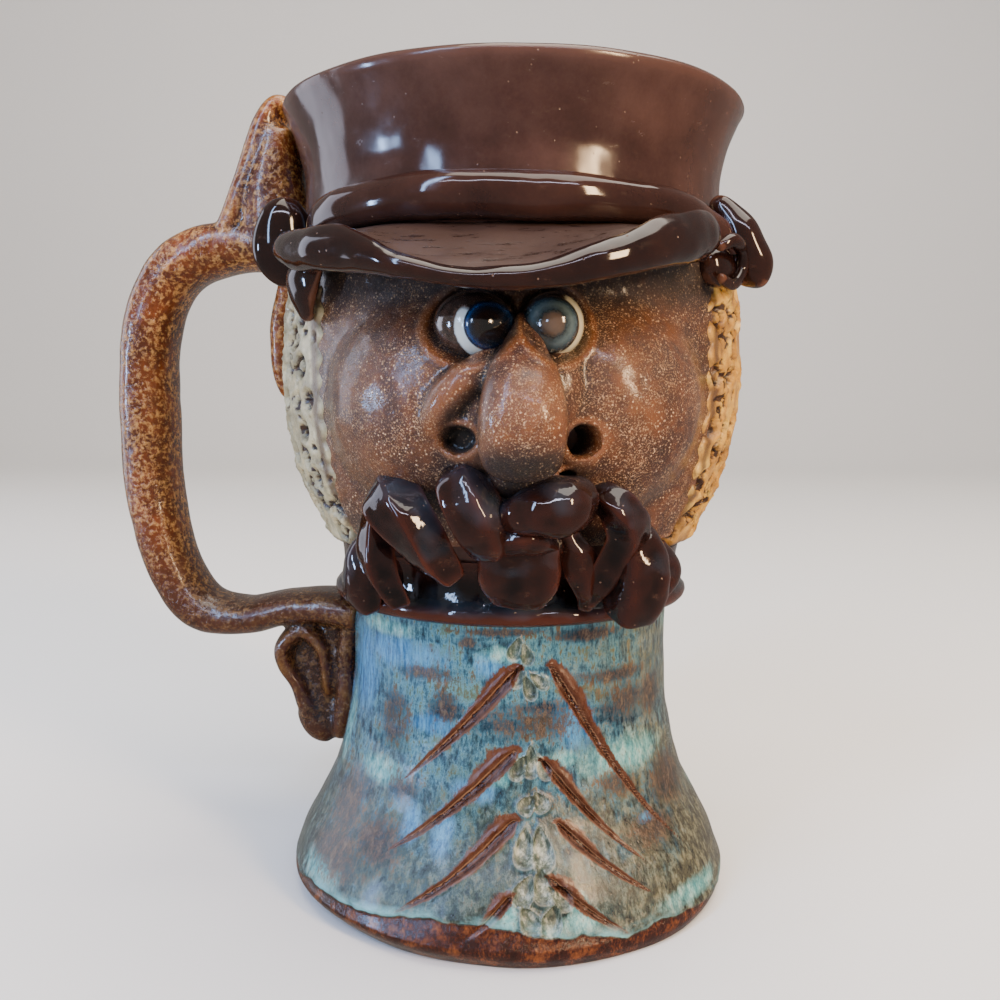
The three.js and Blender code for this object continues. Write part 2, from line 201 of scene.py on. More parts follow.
def ball(name, angle, z, lift, sizes, lean=0.0, segments=32):  # sizes: half width, depth and height
    selectNothing()
    bpy.ops.mesh.primitive_uv_sphere_add(segments=segments, ring_count=segments // 2, radius=1)
    piece = named(name)
    turn = Matrix.Rotation(math.radians(angle), 4, "Z") @ Matrix.Rotation(math.radians(lean), 4, "Y")
    size = Matrix.Diagonal((*[s * mm for s in sizes], 1))
    place = Vector(onMug(np.array(angle), np.array(z), lift) * mm)
    piece.data.transform(Matrix.Translation(place) @ turn @ size)
    return piece


def sweep(name, centres, wide, thick, columns=28, steps=56, squareness=2.6, end=0.12, roll=0.0, face=None):
    t = np.linspace(0, 1, steps + 1)
    tangent = np.gradient(centres, axis=0)
    tangent /= np.linalg.norm(tangent, axis=1)[:, None]
    if face is None:
        out = centres * [1, 1, 0]
        across = np.cross(out, tangent)
    else:
        across = np.broadcast_to(np.asarray(face, float), centres.shape)
    across = across / np.linalg.norm(across, axis=1)[:, None]
    away = np.cross(tangent, across)
    turn = np.radians(np.broadcast_to(roll, t.shape))[:, None]
    c, s = np.cos(turn), np.sin(turn)
    across, away = across * c + away * s, away * c - across * s
    near = np.minimum(t, 1 - t) / end
    taper = np.sqrt(np.clip(1 - (1 - np.minimum(near, 1)) ** 2, 0, 1))

    def place(u, v):
        i = rowOf(v, steps)
        a = 2 * np.pi * u
        c, s = np.cos(a), np.sin(a)
        square = (np.abs(c) ** squareness + np.abs(s) ** squareness) ** (-1 / squareness)
        w = (wide * taper)[i] * square * c
        h = (thick * taper)[i] * square * s
        return centres[i] + across[i] * w[:, None] + away[i] * h[:, None]

    return wrapGrid(name, columns, steps, place)


def strapOnMug(name, rows, steps=56, **settings):
    # rows of angle, height, lift, half width, half thickness and, where it turns, roll
    line = spline([tuple(row) + (0,) * (6 - len(row)) for row in rows], np.linspace(0, 1, steps + 1))
    centres = onMug(line[:, 0], line[:, 1], line[:, 2])
    return sweep(name, centres, line[:, 3], line[:, 4], steps=steps, roll=line[:, 5], **settings)


def roughen(piece, *lumps):  # a hand-made surface: size, seed, height and flattening of the unevenness
    at = points(piece)
    lift = sum(wobble(at * [1, 1, flatten], size, seed) * height for size, seed, height, flatten in lumps)
    movePoints(piece, at + normals(piece) * lift[:, None])


def pushOut(piece, at, lift):  # straight away from the mug's axis
    movePoints(piece, at + around(turnOf(at), 1.0, 0.0) * lift[:, None])


def setAttributes(piece, **marks):
    for name, values in marks.items():
        made = piece.data.attributes.new(name, "FLOAT", "POINT")
        made.data.foreach_set("value", np.asarray(values, np.float32))


def markEdges(piece, rounds=4):
    # 1 on a ridge as sharp as a 1 mm bead, where glaze runs thin, and below 0 in hollows, where it pools
    mesh = piece.data
    pairs = np.empty(len(mesh.edges) * 2, np.int32)
    mesh.edges.foreach_get("vertices", pairs)
    a, b = pairs.reshape(-1, 2).T
    start = points(piece)
    count = np.maximum(np.bincount(a, minlength=len(start)) + np.bincount(b, minlength=len(start)), 1)
    length = np.linalg.norm(start[a] - start[b], axis=1)
    spacing = (np.bincount(a, length, len(start)) + np.bincount(b, length, len(start))) / count
    moved = start.copy()
    for _ in range(rounds):
        total = np.zeros_like(moved)
        np.add.at(total, a, moved[b])
        np.add.at(total, b, moved[a])
        moved = total / count[:, None]
    height = ((start - moved) * normals(piece)).sum(axis=1)
    bend = height * 4 / (rounds * np.maximum(spacing, 0.05) ** 2)
    for _ in range(3):
        beside = np.bincount(a, bend[b], len(start)) + np.bincount(b, bend[a], len(start))
        bend = (bend + beside / count) / 2
    setAttributes(piece, edge=np.clip(bend, -1, 1))


def finishPiece(piece, material, angle=50, rounds=4):
    selectOnly(piece)
    bpy.ops.object.shade_smooth_by_angle(angle=math.radians(angle))
    markEdges(piece, rounds)
    piece.data.materials.clear()
    piece.data.materials.append(material)
    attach(piece, "root")
    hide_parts("face_mug")
    return piece


# Material helpers

def rgb(text):  # sRGB hex to linear
    channels = [int(text[i : i + 2], 16) / 255 for i in (1, 3, 5)]
    return tuple(c / 12.92 if c <= 0.04045 else ((c + 0.055) / 1.055) ** 2.4 for c in channels) + (1,)


def newMaterial(name):
    material = bpy.data.materials.new(name)
    material.use_nodes = True
    material.node_tree.nodes.clear()
    return material, material.node_tree


def add(tree, kind, inputs=(), out=0, **settings):  # one node with its settings and links, returns an output
    made = tree.nodes.new(kind)
    for key, value in settings.items():
        setattr(made, key, value)
    for key, value in dict(inputs).items():
        if isinstance(value, bpy.types.NodeSocket):
            tree.links.new(value, made.inputs[key])
        else:
            made.inputs[key].default_value = value
    return made.outputs[out]


def ramp(tree, value, stops):
    made = tree.nodes.new("ShaderNodeValToRGB")
    tree.links.new(value, made.inputs[0])
    while len(made.color_ramp.elements) < len(stops):
        made.color_ramp.elements.new(0.5)
    for element, (place, colour) in zip(made.color_ramp.elements, stops):
        element.position = place
        element.color = rgb(colour) if isinstance(colour, str) else (colour, colour, colour, 1)
    return made.outputs[0]


def spots(tree, size, stretch=(1, 1, 1), detail=3.0, roughness=0.55, seed=0.0):
    # noise with lumps of this size
    place = add(tree, "ShaderNodeTexCoord", out="Object")
    where = {"Vector": place, "Scale": stretch, "Location": (seed, seed * 0.7, seed * 1.3)}
    moved = add(tree, "ShaderNodeMapping", where)
    inputs = {"Vector": moved, "Scale": 1 / (size * mm), "Detail": detail, "Roughness": roughness}
    return add(tree, "ShaderNodeTexNoise", inputs)


def grains(tree, size, seed=0.0):  # distance to scattered points this far apart, in cells
    place = add(tree, "ShaderNodeTexCoord", out="Object")
    moved = add(tree, "ShaderNodeMapping", {"Vector": place, "Location": (seed, seed, seed)})
    return add(tree, "ShaderNodeTexVoronoi", {"Vector": moved, "Scale": 1 / (size * mm)})


def blend(tree, amount, a, b):
    b = rgb(b) if isinstance(b, str) else b
    return add(tree, "ShaderNodeMix", {0: amount, 6: a, 7: b}, out=2, data_type="RGBA")


def times(tree, a, b):
    return add(tree, "ShaderNodeMath", {0: a, 1: b}, operation="MULTIPLY")


def axisValue(tree, axis, kind="Object"):  # how far along an axis, or how much it faces along it
    return add(tree, "ShaderNodeSeparateXYZ", {0: add(tree, "ShaderNodeTexCoord", out=kind)}, out=axis)


def attribute(tree, name):
    return add(tree, "ShaderNodeAttribute", out="Fac", attribute_name=name)


def shade(material, colour, roughness, height=None, depth=0.1, specular=0.5, coat=0.0, coatRoughness=0.03):
    tree = material.node_tree
    inputs = {"Base Color": colour, "Roughness": roughness, "IOR": 1.5, "Specular IOR Level": specular}
    inputs.update({"Coat Weight": coat, "Coat Roughness": coatRoughness})
    if height is not None:
        inputs["Normal"] = add(tree, "ShaderNodeBump", {"Height": height, "Distance": depth * mm})
    if coat:
        evened = 0.12 * depth * mm  # the clear glaze evens out most of the roughness below it
        inputs["Coat Normal"] = add(tree, "ShaderNodeBump", {"Height": height, "Distance": evened})
    out = tree.nodes.new("ShaderNodeOutputMaterial")
    tree.links.new(add(tree, "ShaderNodeBsdfPrincipled", inputs), out.inputs[0])
    return material


def shift(tree, value, amount, middle=0.5, start=0.0):  # start + amount * (value - middle)
    inputs = {0: value, 1: amount, 2: start - amount * middle}
    return add(tree, "ShaderNodeMath", inputs, operation="MULTIPLY_ADD")


def total(tree, first, *others):  # a pair is a noise and how much of it to add
    for other in others:
        other = shift(tree, *other) if isinstance(other, tuple) else other
        first = add(tree, "ShaderNodeMath", {0: first, 1: other})
    return first


def mask(tree, value, low, high, amount=1.0):  # 0 below low, the amount above high
    return ramp(tree, value, [(low, 0.0), (high, amount)])


# Tenmoku: iron-saturated glaze fired glossy. Chocolate where even, near black in hollows, rust on ridges.
def tenmokuGlaze(name, tones, gloss, bloomAndSheen, ripple):
    material, tree = newMaterial(name.replace("_", "_glaze_"))
    drift = spots(tree, 14, detail=5, roughness=0.6)
    fine = spots(tree, 0.7, detail=3, roughness=0.7, seed=3)
    thin = total(tree, shift(tree, attribute(tree, "edge"), 0.5, 0, 0.5), (drift, 0.5), (fine, 0.1))
    colour = ramp(tree, thin, list(zip((0.2, 0.45, 0.62, 0.85, 1.0), tones)))
    pits = ramp(tree, grains(tree, 2.6, seed=1), [(0.03, 0.0), (0.08, 1.0)])
    colour = blend(tree, pits, rgb("#6f5646"), colour)
    # the peak's top was brushed and left nearly dry
    brushed = spots(tree, 1.2, stretch=(0.2, 0.7, 1.2), detail=4, roughness=0.7, seed=14)
    dry = times(tree, attribute(tree, "dry"), mask(tree, brushed, 0.28, 0.46))
    colour = blend(tree, times(tree, dry, 0.5), colour, "#5a443a")
    scum = mask(tree, spots(tree, 5, stretch=(1, 1, 2), detail=6, roughness=0.75, seed=12), 0.58, 0.7, 0.35)
    colour = blend(tree, scum, colour, "#4c3528")
    # milky blue: a bloom in patches where the glaze is thick, with a painted sky reflection on surfaces facing
    # up
    upper = axisValue(tree, "Z", "Normal")
    bloomAndSheenMask = total(tree, spots(tree, 8, detail=2, roughness=0.5, seed=31), shift(tree, upper, 0.28, 0.4))
    colour = blend(tree, mask(tree, bloomAndSheenMask, 0.44, 0.74, bloomAndSheen), colour, "#4c6070")
    rough = total(
        tree, shift(tree, drift, 0.22, 0.5, gloss), (fine, 0.06), times(tree, scum, 0.4), times(tree, dry, 0.3)
    )
    uneven = times(tree, spots(tree, 7, detail=1, seed=9), 3.0)
    rippled = times(tree, spots(tree, 1.8, detail=2, seed=41), ripple)
    height = total(tree, uneven, rippled, times(tree, pits, 0.6), times(tree, dry, 0.5))
    return shade(material, colour, rough, height, 0.1, specular=0.45)


# Iron brown glaze over gritty stoneware: fine buff and gold grit through it, thin and orange on edges.
def speckledGlaze(name, look):
    material, tree = newMaterial(name)
    drift = spots(tree, look["drift"], detail=5, roughness=0.6)
    cloud = spots(tree, 1.8, detail=5, roughness=0.7, seed=4)
    thin = total(tree, shift(tree, attribute(tree, "edge"), 0.5, 0, 0.5), (drift, 0.9), (cloud, 0.5))
    colour = ramp(tree, thin, list(zip((0.15, 0.5, 0.75, 1.0), look["tones"])))
    grain = spots(tree, look["grain"], detail=3, roughness=0.7, seed=7)
    where = mask(tree, spots(tree, 7, detail=5, roughness=0.7, seed=2), 0.3, 0.66)
    often = total(tree, grain, (where, 0.12))
    grit = mask(tree, often, look["from"], look["from"] + look["soft"], look["amount"])
    colour = blend(tree, grit, colour, look["grit"])
    dots = ramp(tree, grains(tree, 0.75, seed=9), [(0.17, 1.0), (0.27, 0.0)])
    flocks = mask(tree, spots(tree, 5, detail=5, roughness=0.7, seed=23), 0.4, 0.6, look["dots"])
    dots = times(tree, dots, flocks)
    colour = blend(tree, dots, colour, look["fleck"])
    # painted shade: near black under the peak, under the nose and where it faces down, and in the nostrils,
    # where glaze pools as well
    shaded = total(tree, attribute(tree, "hollow"), (cloud, 0.6))
    colour = blend(tree, mask(tree, shaded, 0.2, 0.8, 0.85), colour, "#120a07")
    fleck = mask(tree, spots(tree, 1.2, detail=3, roughness=0.6, seed=17), 0.68, 0.74, look["flecks"])
    colour = blend(tree, fleck, colour, look["fleck"])
    if look["darkBelow"]:
        level = total(tree, shift(tree, axisValue(tree, "Z"), -24, look["darkBelow"] * mm, 0.5), (drift, 1.0))
        colour = blend(tree, mask(tree, level, 0.35, 0.8, 0.72), colour, "#2c1a13")
    rough = total(tree, shift(tree, cloud, 0.35, 0.5, look["roughness"]), times(tree, grit, 0.15))
    rough = total(tree, rough, times(tree, attribute(tree, "hollow"), 0.35))
    height = total(tree, times(tree, grain, 0.8), times(tree, cloud, 0.9), grit)
    return shade(material, colour, rough, height, look["depth"], coat=look["coat"], coatRoughness=0.08)


# Cream slip glaze on stamped clay: buff on the pads, dark iron left in the pressed marks.
def slipGlaze():
    material, tree = newMaterial("cream_slip_glaze_stamped")
    # pale grey-cream on the left, warm ochre on the right: partly a glaze variation, partly painted cool light
    # from the left and warm light from the right
    tintAndLightToRight = mask(tree, shift(tree, axisValue(tree, "X"), 16, 0, 0.4), 0.0, 1.0)
    drift = spots(tree, 5, detail=5, roughness=0.65)
    pale = ramp(tree, drift, [(0.3, "#766d52"), (0.5, "#aa9d78"), (0.68, "#d4c398")])
    warm = ramp(tree, drift, [(0.3, "#86591f"), (0.5, "#c08b30"), (0.68, "#e2b852")])
    colour = blend(tree, tintAndLightToRight, pale, warm)
    cloud = spots(tree, 1.1, detail=5, roughness=0.7, seed=6)
    iron = mask(tree, total(tree, attribute(tree, "pressed"), (cloud, 1.2)), 0.2, 0.5)
    brown = ramp(tree, cloud, [(0.35, "#180c07"), (0.65, "#452714")])
    colour = blend(tree, iron, colour, brown)
    stain = mask(tree, spots(tree, 2.4, detail=4, roughness=0.7, seed=19), 0.56, 0.7, 0.75)
    colour = blend(tree, stain, colour, "#6a4a26")
    edge = mask(tree, attribute(tree, "rim"), 0.3, 0.9, 0.8)
    colour = blend(tree, edge, colour, "#4d3420")
    height = total(tree, cloud, times(tree, spots(tree, 0.5, detail=2, seed=8), 0.4))
    return shade(material, colour, 0.38, height, 0.3, coat=0.35, coatRoughness=0.2)


# Rutile blue glaze run over brown: milky blue to teal, streaked downwards, brown where it ran thin.
def coatGlaze():
    material, tree = newMaterial("rutile_blue_glaze_run")
    drift = spots(tree, 8, stretch=(0.7, 0.7, 1.9), detail=5, roughness=0.6)
    streaks = spots(tree, 0.9, stretch=(1, 1, 0.14), detail=4, roughness=0.75, seed=2)
    runs = spots(tree, 2.8, stretch=(1, 1, 0.22), detail=5, roughness=0.65, seed=22)
    cloud = spots(tree, 1.5, stretch=(1, 1, 0.5), detail=5, roughness=0.7, seed=5)
    fine = spots(tree, 0.45, stretch=(1, 1, 0.45), detail=4, roughness=0.8, seed=15)
    mottled = total(tree, drift, (streaks, 0.8), (cloud, 0.9), (fine, 0.6))
    colour = ramp(tree, mottled, [
        (0.18, "#13212b"), (0.34, "#24414f"), (0.46, "#386270"), (0.55, "#558490"), (0.64, "#4f6a5c"),
        (0.78, "#594f3c"),
    ])
    low = total(tree, shift(tree, axisValue(tree, "Z"), -20, 0.03, 0.5), (runs, 1.6), (drift, 0.8))
    grainy = total(tree, cloud, (fine, 0.5))
    sage = ramp(tree, grainy, [(0.3, "#171a14"), (0.5, "#343c30"), (0.66, "#626b5b")])
    colour = blend(tree, mask(tree, low, 0.3, 0.72, 0.85), colour, sage)
    right = total(tree, shift(tree, axisValue(tree, "X"), 20, 0.012, 0.5), (drift, 1.5), (runs, 1.2))
    olive = ramp(tree, grainy, [(0.3, "#201912"), (0.5, "#504833"), (0.66, "#8a8668")])
    colour = blend(tree, mask(tree, right, 0.45, 0.95, 0.7), colour, olive)
    blue = total(tree, attribute(tree, "blue"), (runs, 1.6), (cloud, 0.6))
    cobalt = ramp(tree, streaks, [(0.38, "#245a86"), (0.6, "#5796bc")])
    colour = blend(tree, mask(tree, blue, 0.2, 0.9, 0.85), colour, cobalt)
    milk = total(tree, attribute(tree, "milk"), (runs, 1.4), (cloud, 1.0))
    milky = ramp(tree, cloud, [(0.36, "#3f8488"), (0.5, "#6faaa6"), (0.64, "#a2c8be")])
    colour = blend(tree, mask(tree, milk, 0.25, 1.0, 0.85), colour, milky)
    brown = total(tree, attribute(tree, "brown"), (cloud, 3.0), (streaks, 1.6), (fine, 2.2))
    rust = [(0.3, "#15100e"), (0.5, "#3c2a22"), (0.7, "#70573f")]
    rusty = ramp(tree, total(tree, fine, (cloud, 0.6)), rust)
    colour = blend(tree, mask(tree, brown, 0.36, 0.9, 0.88), colour, rusty)
    specks = mask(tree, fine, 0.58, 0.64, 0.6)
    colour = blend(tree, specks, colour, "#26292c")
    pool = attribute(tree, "stamp")
    glassy = ramp(tree, cloud, [(0.36, "#31382f"), (0.5, "#5f6857"), (0.64, "#b4b8a4")])
    colour = blend(tree, mask(tree, pool, 0.15, 0.6, 0.85), colour, glassy)
    colour = blend(tree, ramp(tree, pool, [(0.05, 0.0), (0.2, 0.22), (0.4, 0.0)]), colour, "#b9bba8")
    # the pointed tool left a dark furrow between rust sides, with dry tan burrs along it
    across = total(tree, attribute(tree, "across"), (cloud, 0.12), (fine, 0.1))
    furrow = ramp(tree, across, [
        (0.12, "#5c3a26"), (0.22, "#3a1a0e"), (0.32, "#230f09"), (0.38, "#563320"), (0.43, "#2c130b"),
        (0.5, "#160a07"), (0.58, "#3a190e"), (0.64, "#8a6648"), (0.7, "#3c1e10"), (0.86, "#4c2816"),
    ])
    furrow = blend(tree, mask(tree, cloud, 0.46, 0.62, 0.4), furrow, "#6c4a36")
    cut = total(tree, attribute(tree, "cut"), (cloud, 0.9), (fine, 0.5))
    colour = blend(tree, mask(tree, cut, 0.42, 0.6), colour, furrow)
    foot = total(tree, attribute(tree, "foot"), (cloud, 0.05))
    bare = total(tree, spots(tree, 4, detail=5, roughness=0.7, seed=21), (fine, 0.6))
    bare = ramp(tree, bare, [(0.3, "#150a07"), (0.5, "#391a10"), (0.7, "#7a4420")])
    bead = ramp(tree, foot, [(0.49, 0.0), (0.51, 0.8), (0.56, 0.7), (0.7, 0.0)])
    colour = blend(tree, times(tree, bead, mask(tree, drift, 0.4, 0.6)), colour, "#7fb8b8")
    colour = blend(tree, ramp(tree, foot, [(0.46, 1.0), (0.5, 0.0)]), colour, bare)
    rough = shift(tree, cloud, 0.35, 0.5, 0.12)
    height = total(tree, times(tree, cloud, 0.7), times(tree, fine, 0.25), times(tree, runs, 0.8))
    return shade(material, colour, rough, height, 0.3, coat=0.15, coatRoughness=0.05)


# White and dark glazes under a clear one: wet-looking eyeballs.
def eyeGlaze(name, white, stops):
    material, tree = newMaterial(name)
    cloud = spots(tree, 1.0, detail=4, roughness=0.65)
    outside = ramp(tree, cloud, [(0.3, "#120c0a"), (0.7, "#4a3a32")])
    whites = total(tree, attribute(tree, "white"), (cloud, -0.5))
    ground = blend(tree, mask(tree, whites, 0.3, 0.6), outside, white)
    threads = spots(tree, 0.5, detail=4, roughness=0.7, seed=4)
    colour = ramp(tree, total(tree, attribute(tree, "iris"), (threads, 0.12)), stops)
    inside = ramp(tree, attribute(tree, "iris"), [(0.49, 1.0), (0.515, 0.0)])
    colour = blend(tree, inside, ground, colour)
    return shade(material, colour, 0.07, times(tree, cloud, 0.5), 0.1, coat=1.0)


# tones from hollows to ridges, roughness, blue bloom with a painted sky reflection on tops, and ripple
tenmoku = {
    "tenmoku_fired": (("#140a08", "#38231d", "#4c332b", "#543a30", "#5c4238"), 0.17, 0, 0),
    "tenmoku_thick": (("#080404", "#140a08", "#1c0e0b", "#2c1710", "#5a3828"), 0.1, 0, 0),
    "tenmoku_rolled": (("#0a0505", "#22120f", "#362019", "#472c24", "#6a483a"), 0.08, 0, 0),
    "tenmoku_pooled": (("#050202", "#0f0706", "#22110d", "#301610", "#3f1e14"), 0.04, 0.22, 0.45),
}
glazes = {
    **{name: tenmokuGlaze(name, *look) for name, look in tenmoku.items()},
    "face": speckledGlaze("speckled_brown_glaze", {
        "tones": ("#1c0d09", "#462410", "#744016", "#7c4a28"), "grit": "#e6b684", "fleck": "#e2bc92",
        "drift": 12, "grain": 0.3, "from": 0.56, "soft": 0.07, "amount": 0.58, "dots": 0.95, "flecks": 0.5,
        "darkBelow": 0, "roughness": 0.36, "coat": 0.7, "depth": 0.26,
    }),
    "handle": speckledGlaze("rutile_brown_glaze_pulled", {
        "tones": ("#241009", "#48210d", "#703511", "#a06a28"), "grit": "#c9924c", "fleck": "#c99a5a",
        "drift": 8, "grain": 1.1, "from": 0.48, "soft": 0.18, "amount": 0.62, "dots": 0.15, "flecks": 0.35,
        "darkBelow": 68, "roughness": 0.16, "coat": 0.4, "depth": 0.12,
    }),
    "slip": slipGlaze(),
    "coat": coatGlaze(),
    "leftEye": eyeGlaze("left_eye_clear_glaze", "#b9c6cc", [
        (0.1, "#050404"), (0.25, "#140c0a"), (0.36, "#0c1420"), (0.44, "#16345e"), (0.49, "#0a1018"),
    ]),
    "rightEye": eyeGlaze("right_eye_clear_glaze", "#cfc6a4", [
        (0.04, "#5a493c"), (0.17, "#4f4136"), (0.23, "#232c2e"), (0.34, "#4d5c5e"), (0.43, "#34464e"),
        (0.49, "#0b0f12"),
    ]),
}
print("glazes made")


# Cup: the wall inside, the lip, and the cap's flared wall outside

cup = {
    "columns": 260,
    # the outside from and to a height, in how many rows, and how far it lies under the coat, face or cap
    "outside": [(6, 60, 12, 2.6), (66, 126, 16, 0.6), (128, 158.6, 34, 0)],
    "lipHeight": 159.5, "lipIn": 1.6, "lipHalf": 1.7, "lipFlat": 0.9,
    # the wall's share of its thickness at the mouth and at the foot
    "thin": 0.8, "strong": 1.25,
    "rough": (17, 1, 0.35, 2.2),
}


def cupProfile():
    rows = [(r, 3.0) for r in np.linspace(0, 30, 6)]
    for low, high, count, under in cup["outside"]:
        z = np.linspace(low, high, count)
        rows += list(zip(wallRadius(z) - under, z))
    turn = np.radians(np.linspace(10, 170, 11))
    out, up = cup["lipHalf"] * np.cos(turn), cup["lipHalf"] * cup["lipFlat"] * np.sin(turn)
    rows += list(zip(wallRadius(160) - cup["lipIn"] + out, cup["lipHeight"] + up))
    inside = np.linspace(157, 12, 54)
    thick = wall["thick"] * mix(cup["thin"], cup["strong"], (157 - inside) / 145)
    rows += list(zip(wallRadius(inside) - thick, inside))
    rows += [(wallRadius(12) - 7.4, 9.2), (wallRadius(12) - 9.6, 7.6), (wallRadius(12) - 13, wall["floor"])]
    rows += [(r, wall["floor"]) for r in np.linspace(26, 0, 5)]
    return np.array(rows)


def makeCup():
    rows = cupProfile()

    def place(u, v):
        i = rowOf(v, len(rows) - 1)
        return around(360 * u, rows[i, 0], rows[i, 1])

    piece = wrapGrid("cup_and_cap", cup["columns"], len(rows) - 1, place)
    at = points(piece)
    size, seed, height, flatten = cup["rough"]
    lift = wobble(at * [1, 1, flatten], size, seed) * height * smooth(at[:, 2], 118, 135)
    movePoints(piece, at + normals(piece) * lift[:, None])
    return finishPiece(piece, glazes["tenmoku_fired"])


# Coat: the flared foot and waist, with strokes cut by a pointed tool and a column of pressed marks

coat = {
    # from and to as angle and height, and half the width
    "strokes": [
        (1, 52.4, -35.3, 30, 1.25), (0.2, 37, -35.5, 17.3, 1.3), (0.2, 24.6, -29.1, 8.1, 1.3),
        (-0.9, 13, -12.2, 5.4, 1), (12.4, 52.9, 54, 15.2, 1.1), (9.9, 35, 37, 15.4, 1),
        (13.2, 23.9, 36.3, 10.2, 1), (9.3, 15.6, 28.3, 4.4, 0.95),
    ],
    # small leaves pressed in down the middle: angle, height, half width, half height, lean in degrees
    "leaves": [
        (0.6, 56.6, 1.1, 2.2, 20), (4, 55.6, 1, 2, -15), (1.4, 51.4, 1, 2.2, 15),
        (4.8, 49.2, 1, 2.3, -20), (8, 50.4, 0.9, 2, -50), (2, 34.4, 1.2, 2.4, 30),
        (5.4, 35.4, 1.2, 2.8, 0), (9, 34.2, 1.1, 2.4, -30), (4.2, 27.6, 1.3, 1.8, 45),
        (8, 28, 1.3, 1.8, -30), (3, 20.6, 1.6, 3, 4), (7.6, 20.4, 1.7, 3.3, -4),
        (2.6, 14, 1.5, 2.4, 32), (7.2, 14.8, 1.6, 2.7, -8), (11.4, 12.8, 1.5, 2.3, -55),
        (3.6, 9.4, 1.6, 2.5, -30), (8.8, 9.2, 1.7, 2.6, 22),
    ],
    "depth": 1.1,
    "ribs": [(0.34, 0.42, 0.16), (0.2, -0.5, 0.14)],  # ridges left in a stroke: height, place across and width
    "burr": 0.24,
    "leafDepth": 0.9, "leafRim": 0.34,
    # width along a stroke
    "taper": ([0, 0.05, 0.16, 0.4, 0.75, 1], [0.5, 0.9, 1, 0.84, 0.5, 0.14]),
    # where the glaze stops above the foot
    "footLine": [
        (-180, 5), (-110, 3.6), (-69, 5.2), (-56, 6), (-43, 6.4), (-35, 6.4), (-28, 7.8), (-18, 8.6),
        (-8, 8.6), (-1, 8.2), (4, 6.8), (16, 5.9), (27, 4.3), (38, 5.3), (49, 4.2), (63, 2.6), (110, 4.4),
        (180, 5),
    ],
    # glaze run thin, thick blue and milky: angle, height, half width and half height
    "brown": [
        (-28, 50.6, 7.4, 1.5), (-42, 40.8, 4, 5.4), (-23, 45, 3, 3.8), (-36, 28.6, 4, 2.9),
        (6, 42.6, 9, 3.6), (35, 50, 9.4, 1.6), (40, 44.4, 6.6, 3.6), (34, 29.2, 4.2, 2.5),
        (44, 19.7, 6.4, 3), (-41, 18.1, 6, 4.4), (60, 26.4, 8, 5), (8, 28.3, 3.2, 2),
        (-15, 57.4, 1.8, 1.2), (57, 44.1, 4.7, 4.4), (-58, 22, 6, 7), (-55, 13, 9, 4.6),
        (24, 58.6, 9, 1.2), (-4, 59.6, 9, 0.8),
    ],
    "blue": [
        (-42, 53.9, 12, 2.9), (-62, 48, 6, 8), (-8, 53.4, 2.6, 2.4), (-27, 41, 4.4, 1.8),
        (-20, 22.1, 2.2, 4), (-30, 22.5, 1.8, 3.4), (21, 41.3, 3.6, 4.6), (43, 21.6, 2.2, 0.9),
        (-12, 30, 4, 2),
    ],
    "milk": [
        (-46, 30, 8.4, 2.2), (39, 33.9, 11, 3.2), (-59, 8.6, 7.2, 2.6), (-3, 55.4, 4.4, 1.6),
        (16, 8.4, 4, 1.6), (53, 7, 10, 1.7), (-49, 58.3, 8.4, 1.6), (-4, 32.3, 1.9, 1.7),
        (16.5, 35.1, 2.8, 1.5), (-1, 9.9, 1.5, 2.2), (15.7, 11.6, 1.9, 2.1), (-74, 35, 3, 7),
    ],
    # out of sight at the back: how many, half width, half height and seed
    "hidden": {"brown": (26, 7, 3, 1), "blue": (12, 7, 4, 2), "milk": (14, 7, 3, 3)},
    # radius and height of the flat underside and of the hem turned up over the neck
    "under": [(20, 0), (34, 0), (43.6, 0), (45.0, 0.03), (45.6, 0.18)],
    "hem": [
        (33.9, 61), (35.2, 61.2), (36.3, 61.6), (36.9, 62.2), (37.2, 63), (37.1, 63.8), (36.6, 64.5),
        (36, 65.2), (35.6, 66.2), (35.3, 67.6), (35.2, 69.2), (35.3, 71.2), (35.6, 73),
    ],
    "collar": 61.0,
    "thick": 2.4,
    "trimmed": 2.2,  # the foot's left front is pared away
    # so many degrees each side of the middle get this share of the columns
    "columns": 440, "front": 75.0, "share": 0.7,
}


def patchStrength(angle, z, patches):
    strength = np.zeros(len(z))
    for patchAngle, patchZ, wide, high in patches:
        turned = (angle - patchAngle + 180) % 360 - 180
        a = arc(turned, 0, wallRadius(patchZ)) / wide
        b = (z - patchZ) / high
        strength = np.maximum(strength, np.exp(-0.7 * (a**2 + b**2) ** 1.3))
    return strength


def hiddenPatches(count, wide, high, seed):  # the same glazes carried on round the back
    draw = np.random.default_rng(seed)
    patches = []
    for _ in range(count):
        angle, z = draw.uniform(80, 280), draw.uniform(8, 58)
        patches.append((angle, z, wide * draw.uniform(0.6, 1.4), high * draw.uniform(0.6, 1.4)))
    return patches


